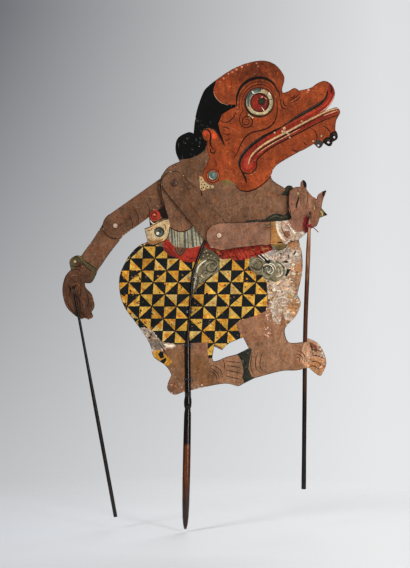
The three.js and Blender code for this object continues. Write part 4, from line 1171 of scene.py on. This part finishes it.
def wound_tie(node):
    """A tie as thread: three turns side by side round both prongs, and two more over them."""
    cad = bmesh.new()
    cad.from_mesh(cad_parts[node].data)
    cad.normal_update()
    up = max(cad.faces, key=lambda f: f.normal.z).normal.copy()
    right = Vector((up.z, 0, -up.x))
    middle = sum((v.co for v in cad.verts), Vector()) / len(cad.verts)
    half_x = (max((v.co - middle).dot(right) for v in cad.verts) - TIE_THREAD) / MM
    half_y = (max(v.co.y - middle.y for v in cad.verts) - TIE_THREAD) / MM
    cad.free()
    middle /= MM

    def path(out, rise, turns):
        loop = rounded(half_x + out, half_y + out, TIE_CORNER + out)
        count = len(loop) * turns
        points = []
        for k in range(count + 1):
            x, y = loop[k % len(loop)]
            points.append(middle + right * x + Vector((0, y, 0)) + up * rise * (k / count - 0.5))
        return points

    bm = bmesh.new()
    tube(bm, path(out=0.42, rise=1.7, turns=3), TURN_RADIUS)
    tube(bm, path(out=1.18, rise=0.8, turns=2), TURN_RADIUS)
    dress(node, shown(node + "_wound", bm, DARK_THREAD), "root")


for i in range(1, 5):
    wound_tie(f"main_rod_tie_{i}")

# Loose turns and the cut end of the front hand's thread, on the palm beside the rod
TAIL = [(165.6, -8.6, 404.6), (168.4, -8.9, 403.4), (172, -9, 400), (176.8, -8.8, 395.6)]
LOOPS_DEPTH = -8.3
LOOPS_STEP = -0.32  # from each loop to the next, away from the palm
LOOPS = [
    [(162.8, 402.4), (161.2, 407), (160.4, 412.4), (159.2, 415.6), (158.2, 412), (158.4, 406), (159.4, 400),
     (160.8, 397)],
    [(162.6, 404.4), (161.4, 409), (161.2, 413.4), (160.4, 416.2), (159.6, 413), (159.8, 407),
     (160.8, 401.4)],
    [(162.2, 403.4), (159.6, 405), (157.4, 409), (156.8, 404), (157.8, 398.6), (159.4, 395)],
    [(162.4, 405.2), (161.6, 410.4), (160.8, 413.8), (160.2, 409.6), (160, 404), (161.2, 399.4),
     (162.4, 396.4)],
]
loose = bmesh.new()
tube(loose, TAIL, LOOSE_RADIUS)
for i, loop in enumerate(LOOPS):
    depth = LOOPS_DEPTH + LOOPS_STEP * i
    tube(loose, [(p.x, depth, p.y) for p in smooth(loop, steps=3)], LOOSE_RADIUS)
loose_thread = shown("front_hand_loose_thread", loose, RED_THREAD)
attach(loose_thread, "front_thread")

# Stage

FLOOR_Z = -0.004
FLOOR_REACH = 1.1
FLOOR_SIDES = 48
SHADED_WALL = linear(112, 114, 119)
BRIGHT_WALL = linear(240, 241, 242)

floor_mesh = bpy.data.meshes.new("floor")
rim_angles = [2 * math.pi * i / FLOOR_SIDES for i in range(FLOOR_SIDES)]
floor_points = [(FLOOR_REACH * math.cos(a), FLOOR_REACH * math.sin(a), FLOOR_Z) for a in rim_angles]
floor_mesh.from_pydata(floor_points, [], [tuple(range(FLOOR_SIDES))])
floor = bpy.data.objects.new("floor", floor_mesh)
bpy.context.scene.collection.objects.link(floor)
floor_look = new_look("floor")
spot = floor_look.coordinates()
reach = floor_look.add("ShaderNodeVectorMath", {0: spot}, operation="LENGTH").outputs["Value"]
across = floor_look.add("ShaderNodeSeparateXYZ", {"Vector": spot}).outputs["X"]
# Painted shade and light on the floor: darker to the left, lighter to the right
tone = floor_look.mix(floor_look.spread(across, -250, 250), linear(222, 225, 230), linear(246, 247, 248))
fading = floor_look.spread(reach, 180, 620, 1, 0)
floor_mesh.materials.append(floor_look.finish(0.1, Base_Color=tone, Roughness=0.9, Alpha=fading))

world = bpy.data.worlds.new("studio")
bpy.context.scene.world = world
sky = Tree(world)
ambient = sky.nodes["Background"]
ambient.inputs["Color"].default_value = (1, 1, 1, 1)
# The background seen by the camera is painted light and shade: shaded to the upper left, bright to the right
# and the bottom
toward = sky.add("ShaderNodeSeparateXYZ", {"Vector": sky.add("ShaderNodeTexCoord").outputs["Generated"]})
rightward = sky.spread(toward.outputs["X"], -0.13, 0.11, 0, 0.8)
downward = sky.spread(toward.outputs["Z"], 0.17, -0.17, 0, 0.6)
wall = sky.mix(downward, sky.mix(rightward, SHADED_WALL, BRIGHT_WALL), BRIGHT_WALL)
shown_sky = sky.add("ShaderNodeBackground", {"Color": wall})
rays = sky.add("ShaderNodeLightPath")
sky.set(ambient.inputs["Strength"], sky.spread(rays.outputs["Is Glossy Ray"], 0, 1, 0.3, 0.12))
seen = sky.math("MAXIMUM", rays.outputs["Is Camera Ray"], rays.outputs["Is Transmission Ray"])
sky_mix = sky.add("ShaderNodeMixShader", {0: seen, 1: ambient.outputs[0], 2: shown_sky.outputs[0]})
sky.links.new(sky_mix.outputs[0], sky.nodes["World Output"].inputs["Surface"])

CENTRE = Vector((0.026, 0, 0.327))  # what the lamps are aimed at


def lamp(name, spot, width, height, watts):
    light = bpy.data.lights.new(name, "AREA")
    light.shape = "RECTANGLE"
    light.size = width
    light.size_y = height
    light.energy = watts
    thing = bpy.data.objects.new(name, light)
    thing.location = spot
    thing.rotation_euler = (CENTRE - Vector(spot)).to_track_quat("-Z", "Y").to_euler()
    bpy.context.scene.collection.objects.link(thing)


lamp("key", (1.2, -1.9, 0.75), 0.4, 2.0, 28)
lamp("fill", (-1.3, -1.5, 1.6), 0.45, 0.8, 21)
lamp("back", (0.6, 1.9, 1.4), 1.4, 1.4, 30)

# Camera: the photograph's frame is 568 squares high
FRAME_HEIGHT = 568
FRAME_MIDDLE = (205, 284)
LENS = 100
SENSOR_WIDTH = 36
camera = bpy.data.cameras.new("camera")
camera.lens = LENS
camera.sensor_width = SENSOR_WIDTH
camera.clip_end = 50
eye = bpy.data.objects.new("camera", camera)
middle = place(FRAME_MIDDLE)
eye.location = (middle.x, -FRAME_HEIGHT * SQUARE * LENS / SENSOR_WIDTH, middle.y)
eye.rotation_euler = (math.pi / 2, 0, 0)
bpy.context.scene.collection.objects.link(eye)
bpy.context.scene.camera = eye
bpy.context.scene.view_settings.view_transform = "Standard"
